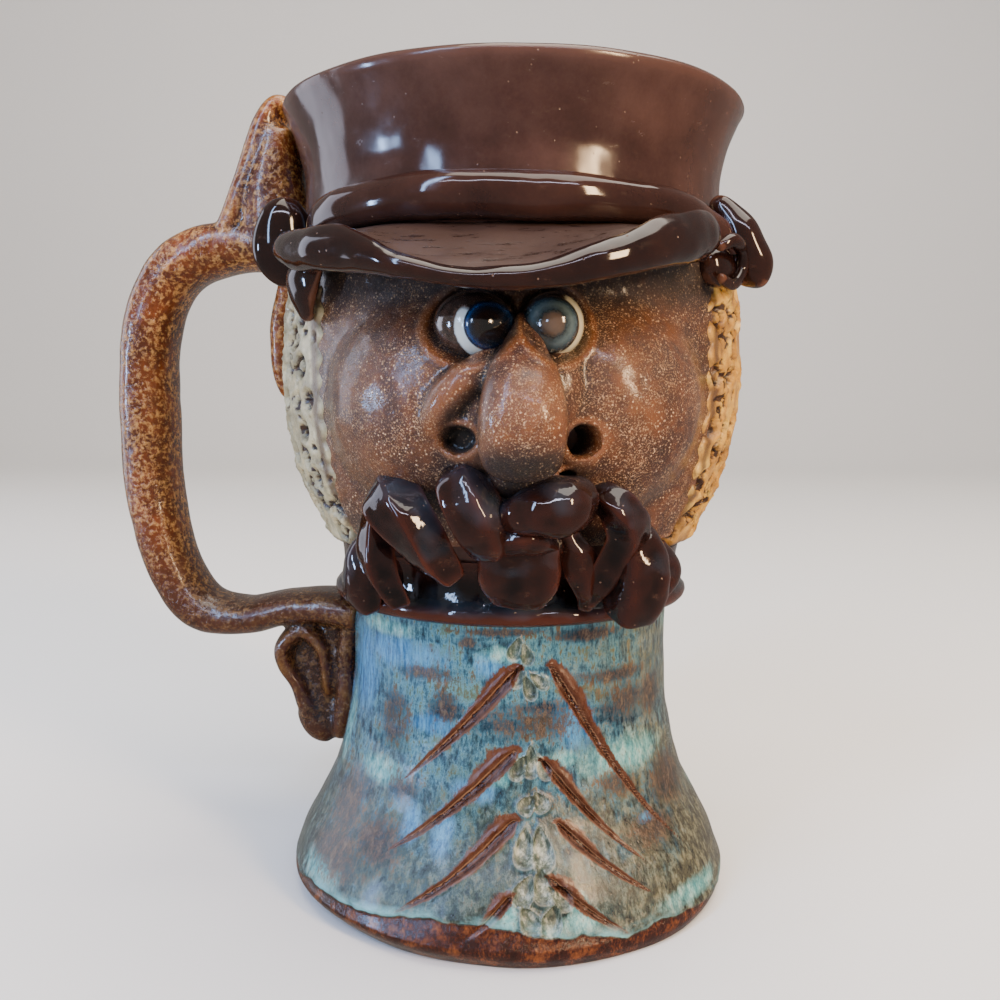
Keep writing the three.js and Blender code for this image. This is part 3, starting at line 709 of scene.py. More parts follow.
def makeCoat():
    outer = np.concatenate([np.linspace(0.5, 4, 10), np.linspace(4.4, 60.6, 166)])
    radius = wallRadius(outer) - 0.9 * (1 - smooth(outer, 0, 3.0)) ** 1.5
    inner = np.linspace(73, 3.4, 12)
    rows = coat["under"] + list(zip(radius, outer)) + coat["hem"]
    rows += list(zip(wallRadius(inner) - coat["thick"], inner)) + [(34, 2.4), (20, 2.4), (20, 0)]
    rows = np.array(rows)
    front, share = coat["front"], coat["share"]

    def place(u, v):
        i = rowOf(v, len(rows) - 1)
        side = u - 0.5
        behind = front + (np.abs(side) - share / 2) / (0.5 - share / 2) * (180 - front)
        angle = np.where(np.abs(side) < share / 2, side / share * 2 * front, np.sign(side) * behind)
        return around(angle, rows[i, 0], rows[i, 1])

    piece = wrapGrid("coat", coat["columns"], len(rows) - 1, place)
    at = points(piece)
    r = np.hypot(at[:, 0], at[:, 1])
    angle = turnOf(at)
    z = at[:, 2]
    outside = (r > wallRadius(z) - 1.2 * smooth(z, 2, 4) - 4 * (1 - smooth(z, 2, 4))) & (r > 30)
    lift = wobble(at * [1, 1, 1.6], 16, 3) * 0.45 + wobble(at * [0.4, 0.4, 1], 4, 4) * 0.14
    leftFront = np.clip(np.cos(np.radians(angle + 42)), 0, 1) ** 2
    lift -= coat["trimmed"] * leftFront * (1 - smooth(z, 0, 4.2))
    cut = np.zeros(len(at))
    across = np.full(len(at), 0.5)
    for fromAngle, fromZ, toAngle, toZ, half in coat["strokes"]:
        t = np.linspace(0, 1, 60)
        bow = np.sin(np.pi * t)
        line = onMug(mix(fromAngle, toAngle, t), mix(fromZ, toZ, t) - 0.5 * bow, 0)
        reach = abs(toAngle - fromAngle) / 2 + 8
        close = np.nonzero(outside & (np.abs(angle - (fromAngle + toAngle) / 2) < reach))[0]
        gaps = np.linalg.norm(at[close][:, None] - line[None], axis=2)
        which = gaps.argmin(axis=1)
        gap = gaps[np.arange(len(close)), which]
        along = t[which]
        width = half * np.interp(along, *coat["taper"])
        ragged = width * (1 + 0.2 * wobble(at[close], 3, 8))
        d = gap / ragged
        signed = np.sign(z[close] - line[which, 2]) * d
        ribs = sum(high * bump(signed, place, wide) for high, place, wide in coat["ribs"])
        groove = np.clip(1 - d, 0, 1) ** 0.8 - ribs
        lip = bump(d, 1.16, 0.2) * width * coat["burr"] * (1 + 0.8 * wobble(at[close], 2.6, 9))
        lift[close] += lip - groove * coat["depth"] * (width / half) * (d < 1.1)
        # rust bled uphill at the start
        stain = np.where(signed > 0, mix(0.32, 0.6, smooth(along, 0.1, 0.6)), 0.6)
        inside = np.clip(1.3 - stain * d, 0, 1)
        nearer = inside > cut[close]
        across[close] = np.where(nearer, np.clip(0.5 + signed * 0.36, 0, 1), across[close])
        cut[close] = np.maximum(cut[close], np.clip(inside * (d < 3.5), 0, 1))
    stamp = np.zeros(len(at))
    for leafAngle, leafZ, wide, high, lean in coat["leaves"]:
        a = arc(angle, leafAngle, wallRadius(leafZ))
        b = z - leafZ
        c, q = math.cos(math.radians(lean)), math.sin(math.radians(lean))
        a, b = (a * c - b * q) / wide, (a * q + b * c) / high
        d = np.hypot(a / np.clip(1 - 0.45 * b, 0.3, 2), b)
        pressed = (1 - smooth(d, 0.7, 1.0)) * coat["leafDepth"]
        lift += (bump(d, 1.16, 0.16) * coat["leafRim"] - pressed) * outside
        stamp = np.maximum(stamp, (1 - smooth(d, 0.8, 1.3)) * outside)
    ring = around(angle, 40, 0 * z)
    ragged = 0.5 * wobble(ring, 6, 11) + 0.4 * wobble(ring, 1.8, 12)
    foot = (z - np.interp(angle, *zip(*coat["footLine"])) - ragged) / 10 + 0.5
    lift += 0.3 * smooth(foot, 0.47, 0.52)
    pushOut(piece, at, lift * outside)
    setAttributes(piece, cut=cut, across=across, stamp=stamp, foot=np.clip(foot, 0, 1))
    for name, hidden in coat["hidden"].items():
        setAttributes(piece, **{name: patchStrength(angle, z, coat[name] + hiddenPatches(*hidden))})
    piece = finishPiece(piece, glazes["coat"])
    piece.data.materials.append(glazes["tenmoku_pooled"])
    centres = np.empty(len(piece.data.polygons) * 3)
    piece.data.polygons.foreach_get("center", centres)
    collar = (centres.reshape(-1, 3)[:, 2] / mm > coat["collar"]).astype(np.int32)
    piece.data.polygons.foreach_set("material_index", collar)
    return piece


# Face: round cheeks, a bulbous nose pressed on over them, a flap over the left nostril, a hole for the right

face = {
    "cheekAngle": 22.5, "cheekHeight": 102.5, "cheekIn": 12.0, "cheekSize": (21.8, 20.8, 21.5), "skin": 1.6,
    # the sheet's ends in degrees and in height, its columns and rows and its thickness
    "from": (-53, 76), "to": (53, 129), "grid": (190, 100), "thick": 3.2,
    "blends": (1.6, 2.2, 2),
    "lip": (4.6, 12, 88, 5),  # the upper lip's lift, half width, height and half height
    # rows of angle, height, lift, half width and half thickness
    "nose": [
        (0.8, 117, 0.8, 1.4, 2.2), (0.8, 113.8, 4.4, 2.4, 3.4), (0.6, 110.4, 7.4, 4, 4.6),
        (0.4, 106.6, 10.2, 5.8, 5.6), (0.3, 102.6, 12.4, 6.9, 6.4), (0.3, 98.8, 13.2, 7.2, 6.8),
        (0.3, 95.2, 11.4, 7, 5.8), (0.3, 92.2, 8.4, 6.2, 4.4),
    ],
    "leftWing": [
        (-2.2, 111.2, 5, 2.6, 3.4), (-8, 107.2, 7, 3.2, 3.6), (-13, 103.2, 7.4, 3.2, 3.2),
        (-16.2, 99, 6.4, 2.6, 2.8), (-16.6, 94.4, 4.6, 2.2, 2.2),
    ],
    "rightFold": [
        (12.6, 101, 4.2, 1.4, 1.4), (17, 98, 4.8, 1.5, 1.4), (18.8, 94, 4.4, 1.4, 1.3),
        (16.6, 90.8, 3.2, 1.2, 1.2),
    ],
    # clay filled in round them: angle, height, lift and half sizes
    "lumps": [
        (-9.6, 97, 3.6, (6.8, 5.2, 7.2)), (12.4, 96.6, 3.2, (7, 5, 6.8)), (7, 104, 3, (6, 6, 9)),
        (-6.5, 102, 3.6, (5, 5, 8)), (2.5, 89.6, 4.4, (8, 4.6, 3.8)),
    ],
    "voxel": 0.5, "rubbing": 11,
    # the nostrils: angle, height, half width, half height and depth
    "holes": [(12.0, 96.2, 2.6, 2.65, 9), (-11.2, 96.4, 3.1, 2.3, 3.6), (9.4, 89.9, 1.5, 1.3, 5)],
    "eyeRim": 0.7,
    # painted shade: darker under the peak, under the nose and where the nose turns down
    "shade": {"peak": 0.72, "nose": 0.8, "turned": 0.75},
}


def cheekLift(angle, z, side):
    a, b, c = face["cheekSize"]
    turn = np.radians(angle - side * face["cheekAngle"])
    centre = wallRadius(face["cheekHeight"]) - face["cheekIn"]
    qa = (np.sin(turn) / a) ** 2 + (np.cos(turn) / b) ** 2
    qb = -2 * centre * np.cos(turn) / b**2
    qc = centre**2 / b**2 + ((z - face["cheekHeight"]) / c) ** 2 - 1
    inside = qb**2 - 4 * qa * qc
    reach = (-qb + np.sqrt(np.clip(inside, 0, None))) / (2 * qa)
    return np.where(inside > 0, reach - wallRadius(z), -12)


def makeFace():
    def skin(u, v):
        angle, z = mix(face["from"][0], face["to"][0], u), mix(face["from"][1], face["to"][1], v)
        cheekBlend, skinBlend, lipBlend = face["blends"]
        out, wide, lipZ, high = face["lip"]
        lift = softMax(cheekLift(angle, z, -1), cheekLift(angle, z, 1), cheekBlend)
        lift = softMax(lift, face["skin"] + 0 * z, skinBlend)
        lift = softMax(lift, out * bump(angle, 0, wide) * bump(z, lipZ, high), lipBlend)
        return onMug(angle, z, lift)

    sheet = wrapGrid("face_skin", *face["grid"], skin, closed=False)
    useModifier(sheet, "SOLIDIFY", thickness=face["thick"] * mm, offset=-1)
    parts = [
        sheet,
        strapOnMug("nose", face["nose"], columns=40, steps=60, squareness=2.4, end=0.11),
        strapOnMug("left_wing", face["leftWing"], columns=24, steps=36, squareness=1.9, end=0.25),
        strapOnMug("right_fold", face["rightFold"], columns=20, steps=30, end=0.25),
    ]
    parts += [ball("face_lump", *lump) for lump in face["lumps"]]
    piece = fuse("face", parts, face["voxel"], face["rubbing"])
    at = points(piece)
    r = np.hypot(at[:, 0], at[:, 1])
    angle = turnOf(at)
    lift = np.zeros(len(at))
    hollow = np.zeros(len(at))
    outer = r > wallRadius(at[:, 2]) - 0.4
    for holeAngle, holeZ, wide, high, depth in face["holes"]:
        d = np.hypot(arc(angle, holeAngle, r) / wide, (at[:, 2] - holeZ) / high)
        inside = (1 - smooth(d, 0.72, 1.12)) * outer
        lift -= inside * depth
        hollow = np.maximum(hollow, inside)
    for eye in eyes.values():
        a = arc(angle, eye["angle"], r) / (eye["wide"] + face["eyeRim"])
        d = np.hypot(a, (at[:, 2] - eye["height"]) / (eye["high"] + face["eyeRim"]))
        lift += (bump(d, 1.14, 0.1) * 0.4 - (1 - smooth(d, 0.9, 1.04)) * 1.2) * outer
    lift += (wobble(at, 7, 21) * 0.25 + wobble(at, 2, 22) * 0.09) * outer
    pushOut(piece, at, lift)
    # painted shade under the peak, under the nose and on its down-facing sides, joined to the darkening of the
    # nostrils as shade and pooled glaze
    underPeak = face["shade"]["peak"] * smooth(at[:, 2] - 0.06 * np.abs(angle), 112.5, 121)
    underNose = face["shade"]["nose"] * (1 - smooth(at[:, 2], 88, 95)) * bump(angle, -1, 16)
    onNose = (1 - smooth(np.abs(angle), 12, 17)) * smooth(at[:, 2], 86, 90)
    turnedDown = face["shade"]["turned"] * onNose * smooth(-normals(piece)[:, 2], 0.1, 0.7)
    setAttributes(piece, hollow=np.maximum.reduce([hollow, underPeak, underNose, turnedDown]))
    return finishPiece(piece, glazes["face"], angle=70, rounds=5)


# iris: angle, height and radius; white: the side of it that shows most, in degrees
eyes = {
    "left": {"angle": -9, "height": 115.3, "wide": 7, "high": 5.8, "iris": (-5.4, 115, 4.1), "white": 222},
    "right": {"angle": 6.6, "height": 115.4, "wide": 5.4, "high": 5.6, "iris": (5.4, 115.2, 4.7), "white": -16},
}

eyeball = {"lift": 2.4, "out": 6.6, "bulge": 1.3}


def makeEye(name, eye):
    sizes = (eye["wide"], eyeball["out"], eye["high"])
    piece = ball(name + "_eye", eye["angle"], eye["height"], eyeball["lift"], sizes, segments=96)
    at = points(piece)
    angle = turnOf(at)
    irisAngle, irisZ, radius = eye["iris"]
    middle = onMug(irisAngle, irisZ, 8)
    out = around(irisAngle, 1.0, 0.0)
    flat = (at - middle) - ((at - middle) @ out)[:, None] * out
    d = np.linalg.norm(flat, axis=1) / radius
    front = at @ around(eye["angle"], 1.0, 0.0) > wallRadius(eye["height"]) + 2
    lift = np.clip(1 - d**2, 0, 1) ** 0.5 * eyeball["bulge"] * front
    movePoints(piece, at + lift[:, None] * out)
    side = around(irisAngle + 90, 1.0, 0.0)
    way = np.degrees(np.arctan2(flat[:, 2], flat @ side)) - eye["white"]
    turned = np.abs((way + 180) % 360 - 180)
    white = (1 - smooth(turned, 50, 100)) * (1 - smooth(d, 1.2, 1.55)) * front
    setAttributes(piece, iris=np.where(front, np.clip(d, 0, 2), 2) / 2, white=white)
    return finishPiece(piece, glazes[name + "Eye"], angle=80)


# Hair: pads of clay from cheek to cheek round the back, stamped all over with a small star and a ring

hair = {
    "from": 49.0, "bottom": 73.6, "top": 127.0, "thick": 2.6, "skin": 2.2, "radius": 47, "grid": (400, 100),
    # stamped marks in rows, with the first one's angle and height and the steps from one to the next
    "rows": 10, "columns": 38, "first": (53.5, 76.5), "steps": (6.9, 5.3), "size": 2.3, "depth": 1.9,
    # small leaves pricked in near the cheeks
    "pricks": 110, "prickDepth": 0.9,
}


def makeHair():
    def edge(z, seed):
        return hair["from"] + 4.4 * smooth(np.abs(z - 103) / 26, 0.45, 1.15) + 0.7 * np.sin(z * 1.45 + seed)

    def place(u, v):
        z = mix(hair["bottom"], hair["top"], v)
        start, stop = edge(z, 0.6), 360 - edge(z, 2.2)
        angle = mix(start, stop, u)
        near = np.minimum(np.minimum(u, 1 - u) * 212, np.minimum(v, 1 - v) * 54)
        lift = hair["thick"] * np.clip(1 - (1 - np.clip(near / 1.8, 0, 1)) ** 2, 0, 1) ** 0.5
        return onMug(angle, z, lift - 0.4)

    piece = wrapGrid("hair", *hair["grid"], place, closed=False)
    useModifier(piece, "SOLIDIFY", thickness=hair["skin"] * mm, offset=-1)
    weld(piece, 0.002)
    at = points(piece)
    r = np.hypot(at[:, 0], at[:, 1])
    angle = turnOf(at) % 360
    z = at[:, 2]
    outer = r > wallRadius(z) + 0.6
    lift = wobble(at, 6, 31) * 0.5
    pressed = np.zeros(len(at))
    draw = np.random.default_rng(11)
    (firstAngle, firstZ), (stepAngle, stepZ) = hair["first"], hair["steps"]
    for row in range(hair["rows"]):
        for column in range(hair["columns"]):
            markAngle = firstAngle + (column + 0.5 * (row % 2)) * stepAngle + draw.uniform(-1.5, 1.5)
            markZ = firstZ + row * stepZ + draw.uniform(-1.2, 1.2)
            kind = draw.random()
            spin = draw.uniform(0, 6.28)
            if markAngle > 308 or kind < 0.08:
                continue
            a = arc(angle, markAngle, hair["radius"])
            b = z - markZ
            close = np.nonzero(outer & (np.abs(a) < 4.5) & (np.abs(b) < 4.5))[0]
            rho, theta = np.hypot(a[close], b[close]), np.arctan2(b[close], a[close]) + spin
            if kind < 0.75:  # a star, else a ring
                size = hair["size"]
                arms = np.clip(np.cos(3 * theta) ** 2, 0, 1) ** 2
                shape = (1 - smooth(rho, size * 0.7, size)) * mix(0.25, 1, arms)
                shape = np.maximum(shape, 1 - smooth(rho, 0.5, 1.0))
            else:
                shape = bump(rho, 1.7, 0.5) + 0.4 * bump(rho, 0, 0.5)
            lift[close] -= shape * hair["depth"]
            lift[close] += bump(rho, 2.8, 0.5) * 0.3
            pressed[close] = np.maximum(pressed[close], shape)
    for prick in range(hair["pricks"]):
        side = -1 if prick % 4 == 0 else 1
        markAngle = (side * draw.uniform(51.5, 66)) % 360
        markZ = draw.uniform(78, 123)
        spin = draw.uniform(0, 3.14)
        a = arc(angle, markAngle, hair["radius"])
        b = z - markZ
        close = np.nonzero(outer & (np.abs(a) < 2) & (np.abs(b) < 2))[0]
        long = a[close] * math.cos(spin) + b[close] * math.sin(spin)
        wide = b[close] * math.cos(spin) - a[close] * math.sin(spin)
        shape = 1 - smooth(np.hypot(long / 1.3, wide / 0.6), 0.5, 1.1)
        lift[close] -= shape * hair["prickDepth"]
        pressed[close] = np.maximum(pressed[close], shape)
    pushOut(piece, at, lift * outer)
    gap = np.minimum(np.abs(angle - hair["from"] - 3), np.abs(angle - 357 + hair["from"])) * 0.8
    gap = np.minimum(gap, np.minimum(np.abs(z - hair["bottom"]), np.abs(z - hair["top"])))
    setAttributes(piece, pressed=pressed, rim=1 - smooth(gap, 0, 2.4))
    return finishPiece(piece, glazes["slip"], angle=70, rounds=3)


# Cap: a roll of clay round the front, a drooping peak with a rolled lip, a button at each side

# straps as rows of angle, height, lift, half width and half thickness
cap = {
    "peakGrid": (48, 150), "peakRoot": 132.4,
    # unevenness as size, seed, height and flattening
    "peakRough": [(9, 41, 0.55, 1.5), (3, 42, 0.1, 1)],
    "bandRough": (11, 45, 0.55, 1),
    "buttonRough": (8, 51, 0.9, 1),
    "hem": (0.6, 2.1, 1.6), "hemHeight": 129,
    "band": [
        (-63, 133, -0.5, 1.6, 1.4), (-57, 134.6, 1, 2.9, 2.4), (-44, 136.4, 1.6, 3.8, 3.1),
        (-22, 137, 1.8, 4, 3.5), (0, 136.8, 1.8, 4.1, 3.6), (20, 136.9, 1.8, 3.9, 3.4),
        (40, 136.2, 1.4, 3.4, 3), (50, 135.2, 1.2, 3, 2.6), (56.5, 133, 3.4, 2.8, 2.4),
        (58.6, 129.4, 5, 2.4, 2), (56.5, 126, 4.4, 1.6, 1.4),
    ],
    # the ends are folded scraps of clay: a leaf under the peak's left end, and on the right a leaf and a cup
    "folds": {
        "left_web": [
            (-50.5, 130, 3, 5.4, 2), (-50.5, 125.5, 5.6, 5.6, 2.2), (-51.5, 121, 5.2, 3.8, 1.8),
            (-52.5, 116.8, 3.2, 1.4, 1.2),
        ],
        "right_leaf": [
            (57.5, 140.6, 1, 1.6, 1.8), (58.6, 137, 4, 3, 3), (60, 132, 6.2, 3.8, 4),
            (61, 127.4, 7.2, 3.6, 4.2), (60, 124.2, 6.2, 2.4, 2.8),
        ],
        "right_cup": [
            (46, 129.8, 6, 1.1, 1.2), (50, 131.4, 7.4, 1.2, 1.2), (54.8, 130, 7.2, 1.2, 1.2),
            (56, 126.8, 6.4, 1.2, 1.2), (52.2, 124.2, 5.8, 1.2, 1.2), (47, 125.2, 5.6, 1.1, 1.2),
        ],
    },
    # angle, height, lift, half sizes and lean
    "buttons": {
        "left_button": (-70, 132.4, 4.2, (4.4, 6.2, 8.6), 4),
        "right_button": (53, 127.4, 2.6, (5.2, 3.4, 4.2), 0),
    },
    # angle, height and reach of the lip, and its half height
    "lip": [
        (-62, 130.4, 3.4, 2.2), (-56, 129.6, 8.4, 2.8), (-49, 129, 12, 3.1), (-41, 128.2, 14.4, 3.5),
        (-34, 127.5, 16.4, 3.5), (-28, 127, 17.6, 3.5), (-23, 125.4, 18.7, 2.7), (-18, 123.7, 19.4, 1.9),
        (-12, 122.2, 19.6, 1.7), (-5, 121.4, 19.8, 1.85), (1, 121.6, 19.9, 2.1), (7, 123, 19.7, 2.7),
        (13, 125, 19.4, 3.1), (19, 127.1, 18.6, 3.9), (26, 128.9, 16.6, 4.2), (32, 130.3, 14.2, 4.1),
        (37, 131, 11.6, 3.6), (41, 131.2, 8.4, 3), (45, 131, 4.2, 2.6),
    ],
}


def makePeak():
    def place(u, v):
        line = spline(cap["lip"], v)
        angle, z, reach, half = line.T
        end = np.minimum(v, 1 - v) / 0.05
        close = np.sqrt(np.clip(1 - (1 - np.minimum(end, 1)) ** 2, 0, 1))
        root, crest = cap["peakRoot"], z + half
        loop = [
            (root + 1.4, -2.5), (mix(root, crest, 0.36) - 0.5, reach * 0.36),
            (mix(root, crest, 0.72) - 0.9, reach * 0.70), (crest - 0.2, reach - 2.6),
            (crest - 0.1, reach - 0.6), (z + half * 0.35, reach + 1.0), (z - half * 0.5, reach + 0.8),
            (z - half * 1.0, reach - 1.4), (mix(root, z - half, 0.7) - 2.4, reach * 0.72),
            (mix(root, z - half, 0.4) - 3.4, reach * 0.4), (root - 5.6, -2.5), (root - 2, -3.2),
        ]
        table = np.array([np.broadcast_arrays(up, out, z)[:2] for up, out in loop])
        middle = table.mean(axis=0).T
        at = (u % 1.0) * len(loop)
        i = at.astype(int)
        corners = [table[(i + step) % len(loop), :, np.arange(len(u))] for step in (-1, 0, 1, 2)]
        both = between(*corners, (at - i)[:, None])
        both = mix(middle, both, close[:, None])
        return onMug(angle, both[:, 0], both[:, 1])

    piece = wrapGrid("cap_peak", *cap["peakGrid"], place)
    roughen(piece, *cap["peakRough"])
    useModifier(piece, "SUBSURF", levels=1, render_levels=1)
    at, facing = points(piece), normals(piece)
    angle = turnOf(at)
    lip = np.array(cap["lip"])
    inward = np.interp(angle, lip[:, 0], lip[:, 2]) + wallRadius(at[:, 2]) - np.hypot(at[:, 0], at[:, 1])
    setAttributes(piece, dry=smooth(facing[:, 2], 0.25, 0.6) * smooth(inward, 1.0, 3.0))
    return finishPiece(piece, glazes["tenmoku_thick"])


def makeBand():
    piece = strapOnMug("cap_band", cap["band"], columns=36, steps=150, squareness=2.3, end=0.06)
    roughen(piece, cap["bandRough"])
    return finishPiece(piece, glazes["tenmoku_rolled"])


def makeButton(name, angle, z, lift, sizes, lean):
    piece = ball(name, angle, z, lift, sizes, lean, segments=64)
    roughen(piece, cap["buttonRough"])
    return finishPiece(piece, glazes["tenmoku_thick"])


def makeFolds():
    for order, (name, rows) in enumerate(cap["folds"].items()):
        piece = strapOnMug(name, rows, columns=40, steps=60, squareness=1.9, end=0.14)
        roughen(piece, (6, 81 + order, 0.5, 1))
        useModifier(piece, "SUBSURF", levels=1, render_levels=1)
        finishPiece(piece, glazes["tenmoku_thick"])


def makeHem():
    turns = range(60, 294, 12)
    rows = [(angle, cap["hemHeight"] + 0.5 * math.sin(angle / 9), *cap["hem"]) for angle in turns]
    piece = strapOnMug("cap_hem", rows, columns=20, steps=200, end=0.03)
    return finishPiece(piece, glazes["tenmoku_thick"])


# Moustache: folded straps that fall outwards from the nose, over a square chin

# How square each strap is (under 2 it has a keel, over 2 it is flat), and its rows of angle, height, lift,
# half width, half thickness and turn in degrees
whiskers = {
    "far_left_leaf": (1.35, [
        (-48, 76, 0.4, 2.4, 2), (-50, 71, 4, 5, 2.4), (-49, 65.6, 4.8, 6.4, 2.8),
        (-47, 61.4, 3.8, 2.4, 1.6),
    ]),
    "hanging_loop": (1.1, [
        (-37, 84, 0.6, 2.6, 2, -20), (-36, 77, 6, 4.2, 2.8, -10), (-34, 70.5, 7.8, 4.4, 3.2, 10),
        (-31.5, 64.6, 5.8, 2.8, 2.4, 20),
    ]),
    "left_ribbon": (1.05, [
        (-31, 88.4, 0.8, 3.4, 2, -36), (-27, 87, 7, 5.6, 3.4, -28), (-21.5, 82, 10.8, 5.6, 4, -8),
        (-17.4, 76.4, 11.6, 4.8, 3.8, 12), (-13.6, 71.4, 10.6, 2.6, 2.4, 20),
    ]),
    "left_roll": (1.3, [
        (-12.6, 92, 1.4, 3, 2.6, -30), (-10, 88.4, 9, 4.8, 3.8, -28), (-6.8, 82.4, 11.6, 5.2, 4, -18),
        (-4.4, 77.4, 10.4, 4.2, 3, 0),
    ]),
    "bean": (2.1, [
        (-3.4, 83, 7.6, 2.2, 2.6), (1.4, 84.4, 10.8, 3.8, 4.2), (7.4, 85.6, 11, 5.2, 5),
        (13.4, 86, 7, 4, 3.4),
    ]),
    "right_ribbon": (1.1, [
        (15, 88, 3, 2.6, 2.2, 20), (20, 84.6, 8.6, 3.8, 3.2, 26), (23.8, 79, 9.4, 4.4, 3.2, 10),
        (22.4, 71.4, 7.6, 4.4, 3, -12), (19, 66, 5, 2.4, 2, -20),
    ]),
    "right_web": (1.6, [
        (12, 80, 4, 2, 1.6), (14.4, 75, 7, 3.4, 1.8), (17.6, 69.6, 7, 2.8, 1.8), (20, 65, 5, 1.4, 1.2),
    ]),
    "right_roll": (3.4, [
        (26.4, 80.6, 2.8, 3.6, 3), (28.2, 76, 9, 4.6, 4.2), (28.8, 69.4, 10.6, 4.8, 5),
        (29.2, 63.6, 8.8, 4.4, 4),
    ]),
    "far_right_leaf": (1.8, [(46, 75.6, 0.4, 2.6, 2.2), (50, 69.6, 4.2, 3.8, 2.4), (51, 65, 3, 2, 1.8)]),
    "chin": (4.4, [
        (0.4, 80, 1.4, 5.6, 4), (0.4, 77, 8, 7.2, 3.6), (0.6, 72, 8.4, 7, 3.6), (0.4, 67.4, 7.2, 4.6, 3),
    ]),
    "chin_fold": (1.4, [
        (-9.4, 77, 6, 1.4, 1.4), (-4, 79.2, 10, 2.8, 2.6), (3, 79.8, 11.2, 3, 2.6), (10, 76.8, 7, 1.6, 1.4),
    ]),
}


def makeWhiskers():
    for order, (name, (squareness, rows)) in enumerate(whiskers.items()):
        piece = strapOnMug(name, rows, columns=36, steps=44, squareness=squareness, end=0.09)
        roughen(piece, (8, 61 + order, 0.6, 1), (3, 62 + order, 0.26, 1))
        useModifier(piece, "SUBSURF", levels=1, render_levels=1)
        finishPiece(piece, glazes["tenmoku_pooled"])


# Handle: a pulled strap from cap to collar, a thumb rest, a tail down the hair and a scroll on the coat

# rows of reach from the axis, height, half thickness and half width
handle = {
    "angle": -98.0, "voxel": 0.6, "rubbing": 7, "rough": [(14, 71, 0.5, 1), (4, 72, 0.12, 1)],
    "grip": [
        (40, 133, 6.4, 9.6), (55.2, 135, 5.4, 8), (68.2, 133.2, 5.8, 7.8), (76.5, 126.5, 5.8, 7.8),
        (80.5, 114, 5.8, 7.8), (81.2, 98, 5.8, 7.8), (80.5, 82, 5.8, 7.8), (77.2, 66, 5.6, 7.8),
        (70.3, 55.6, 4.9, 7.8), (60.2, 53.6, 4, 7.8), (49.6, 56, 3.7, 8.2), (39.8, 56.4, 3.8, 8.4),
        (32, 55, 4, 8.4),
    ],
    "rest": [
        (61.6, 135, 3.2, 7.6), (58.2, 143, 3.4, 7.4), (54.8, 151.5, 3.4, 7), (52.4, 159.2, 3.1, 6.4),
        (49.8, 163.9, 2.3, 5.6), (46.4, 162.8, 1.9, 4.6),
    ],
    "web": [(51.2, 133, 9.8, 8.2), (51.4, 144, 7.8, 8.0), (50.4, 152, 5.6, 7.4), (49.4, 160, 3.6, 6.2)],
    "tail": [(46.2, 131, 3.0, 6.0), (49.4, 119, 2.6, 5.0), (49.4, 108, 2.4, 4.2), (47.8, 102.4, 1.6, 3.0)],
    "run": [(34.3, 57, 3.0, 6.0), (35.9, 46, 2.4, 5.4), (36.3, 36, 2.4, 5.0), (38.2, 26, 2.0, 3.6)],
    "roll": [
        (40.4, 35.4, 1.5, 4.4), (40.3, 41, 1.9, 5.6), (41.2, 47.4, 2.1, 6.2), (45.6, 51.3, 2.2, 6.4),
        (50, 47.4, 2.1, 6.2), (49.8, 43, 2, 5.8), (47.2, 38.8, 2, 5.2), (45.2, 33.6, 2.4, 4.8),
        (43, 29.2, 3, 4.4), (38.6, 27.4, 2.8, 3.8),
    ],
    "fill": [(38.6, 55, 3.0, 3.6), (39.2, 49.6, 3.0, 3.4), (39.2, 44, 2.6, 3.0), (39.4, 38, 2.4, 2.6)],
    "end": [(45.6, 34.6, 1.6, 2.6), (45.2, 31.4, 2.8, 4.2), (42.6, 28.4, 3.0, 4.4), (39.6, 27.0, 2.2, 3.2)],
    "back": [
        (45.4, 50, 3.2, 1.8), (45.4, 44, 4.8, 2), (43.6, 37.4, 3.8, 2.2), (41.8, 31.5, 3.6, 2.8),
        (40.6, 27.6, 2.6, 3),
    ],
}


def handlePart(name, steps, **settings):
    line = spline(handle[name], np.linspace(0, 1, steps + 1))
    centres = around(handle["angle"], line[:, 0], line[:, 1])
    side = around(handle["angle"] + 90, 1.0, 0.0)
    return sweep(name, centres, line[:, 3], line[:, 2], steps=steps, face=side, **settings)


def makeHandle():
    parts = [
        handlePart("grip", 150, columns=40, squareness=2.3, end=0.02),
        handlePart("rest", 50, columns=32, squareness=2.4, end=0.1),
        handlePart("web", 30, columns=32, squareness=2.2),
        handlePart("tail", 40, columns=28),
        handlePart("run", 40, columns=28),
        handlePart("roll", 70, columns=28, squareness=2.2),
        handlePart("fill", 30, columns=28),
        handlePart("end", 30, columns=28, squareness=2.0),
        handlePart("back", 30, columns=28),
    ]
    piece = fuse("handle", parts, handle["voxel"], handle["rubbing"])
    roughen(piece, *handle["rough"])
    return finishPiece(piece, glazes["handle"], angle=70, rounds=5)


makeCup()
print("cup made")
makeCoat()
print("coat made")
makeFace()
for eyeName, eyeForm in eyes.items():
    makeEye(eyeName, eyeForm)
print("face made")
makeHair()
print("hair made")
makePeak()
makeBand()
makeHem()
for buttonName, button in cap["buttons"].items():
    makeButton(buttonName, *button)
makeFolds()
print("cap made")
makeWhiskers()
print("moustache made")
makeHandle()
print("handle made")


# Studio, in metres: pale paper curving up behind, cool windows on the left, a warm one on the right, a soft top

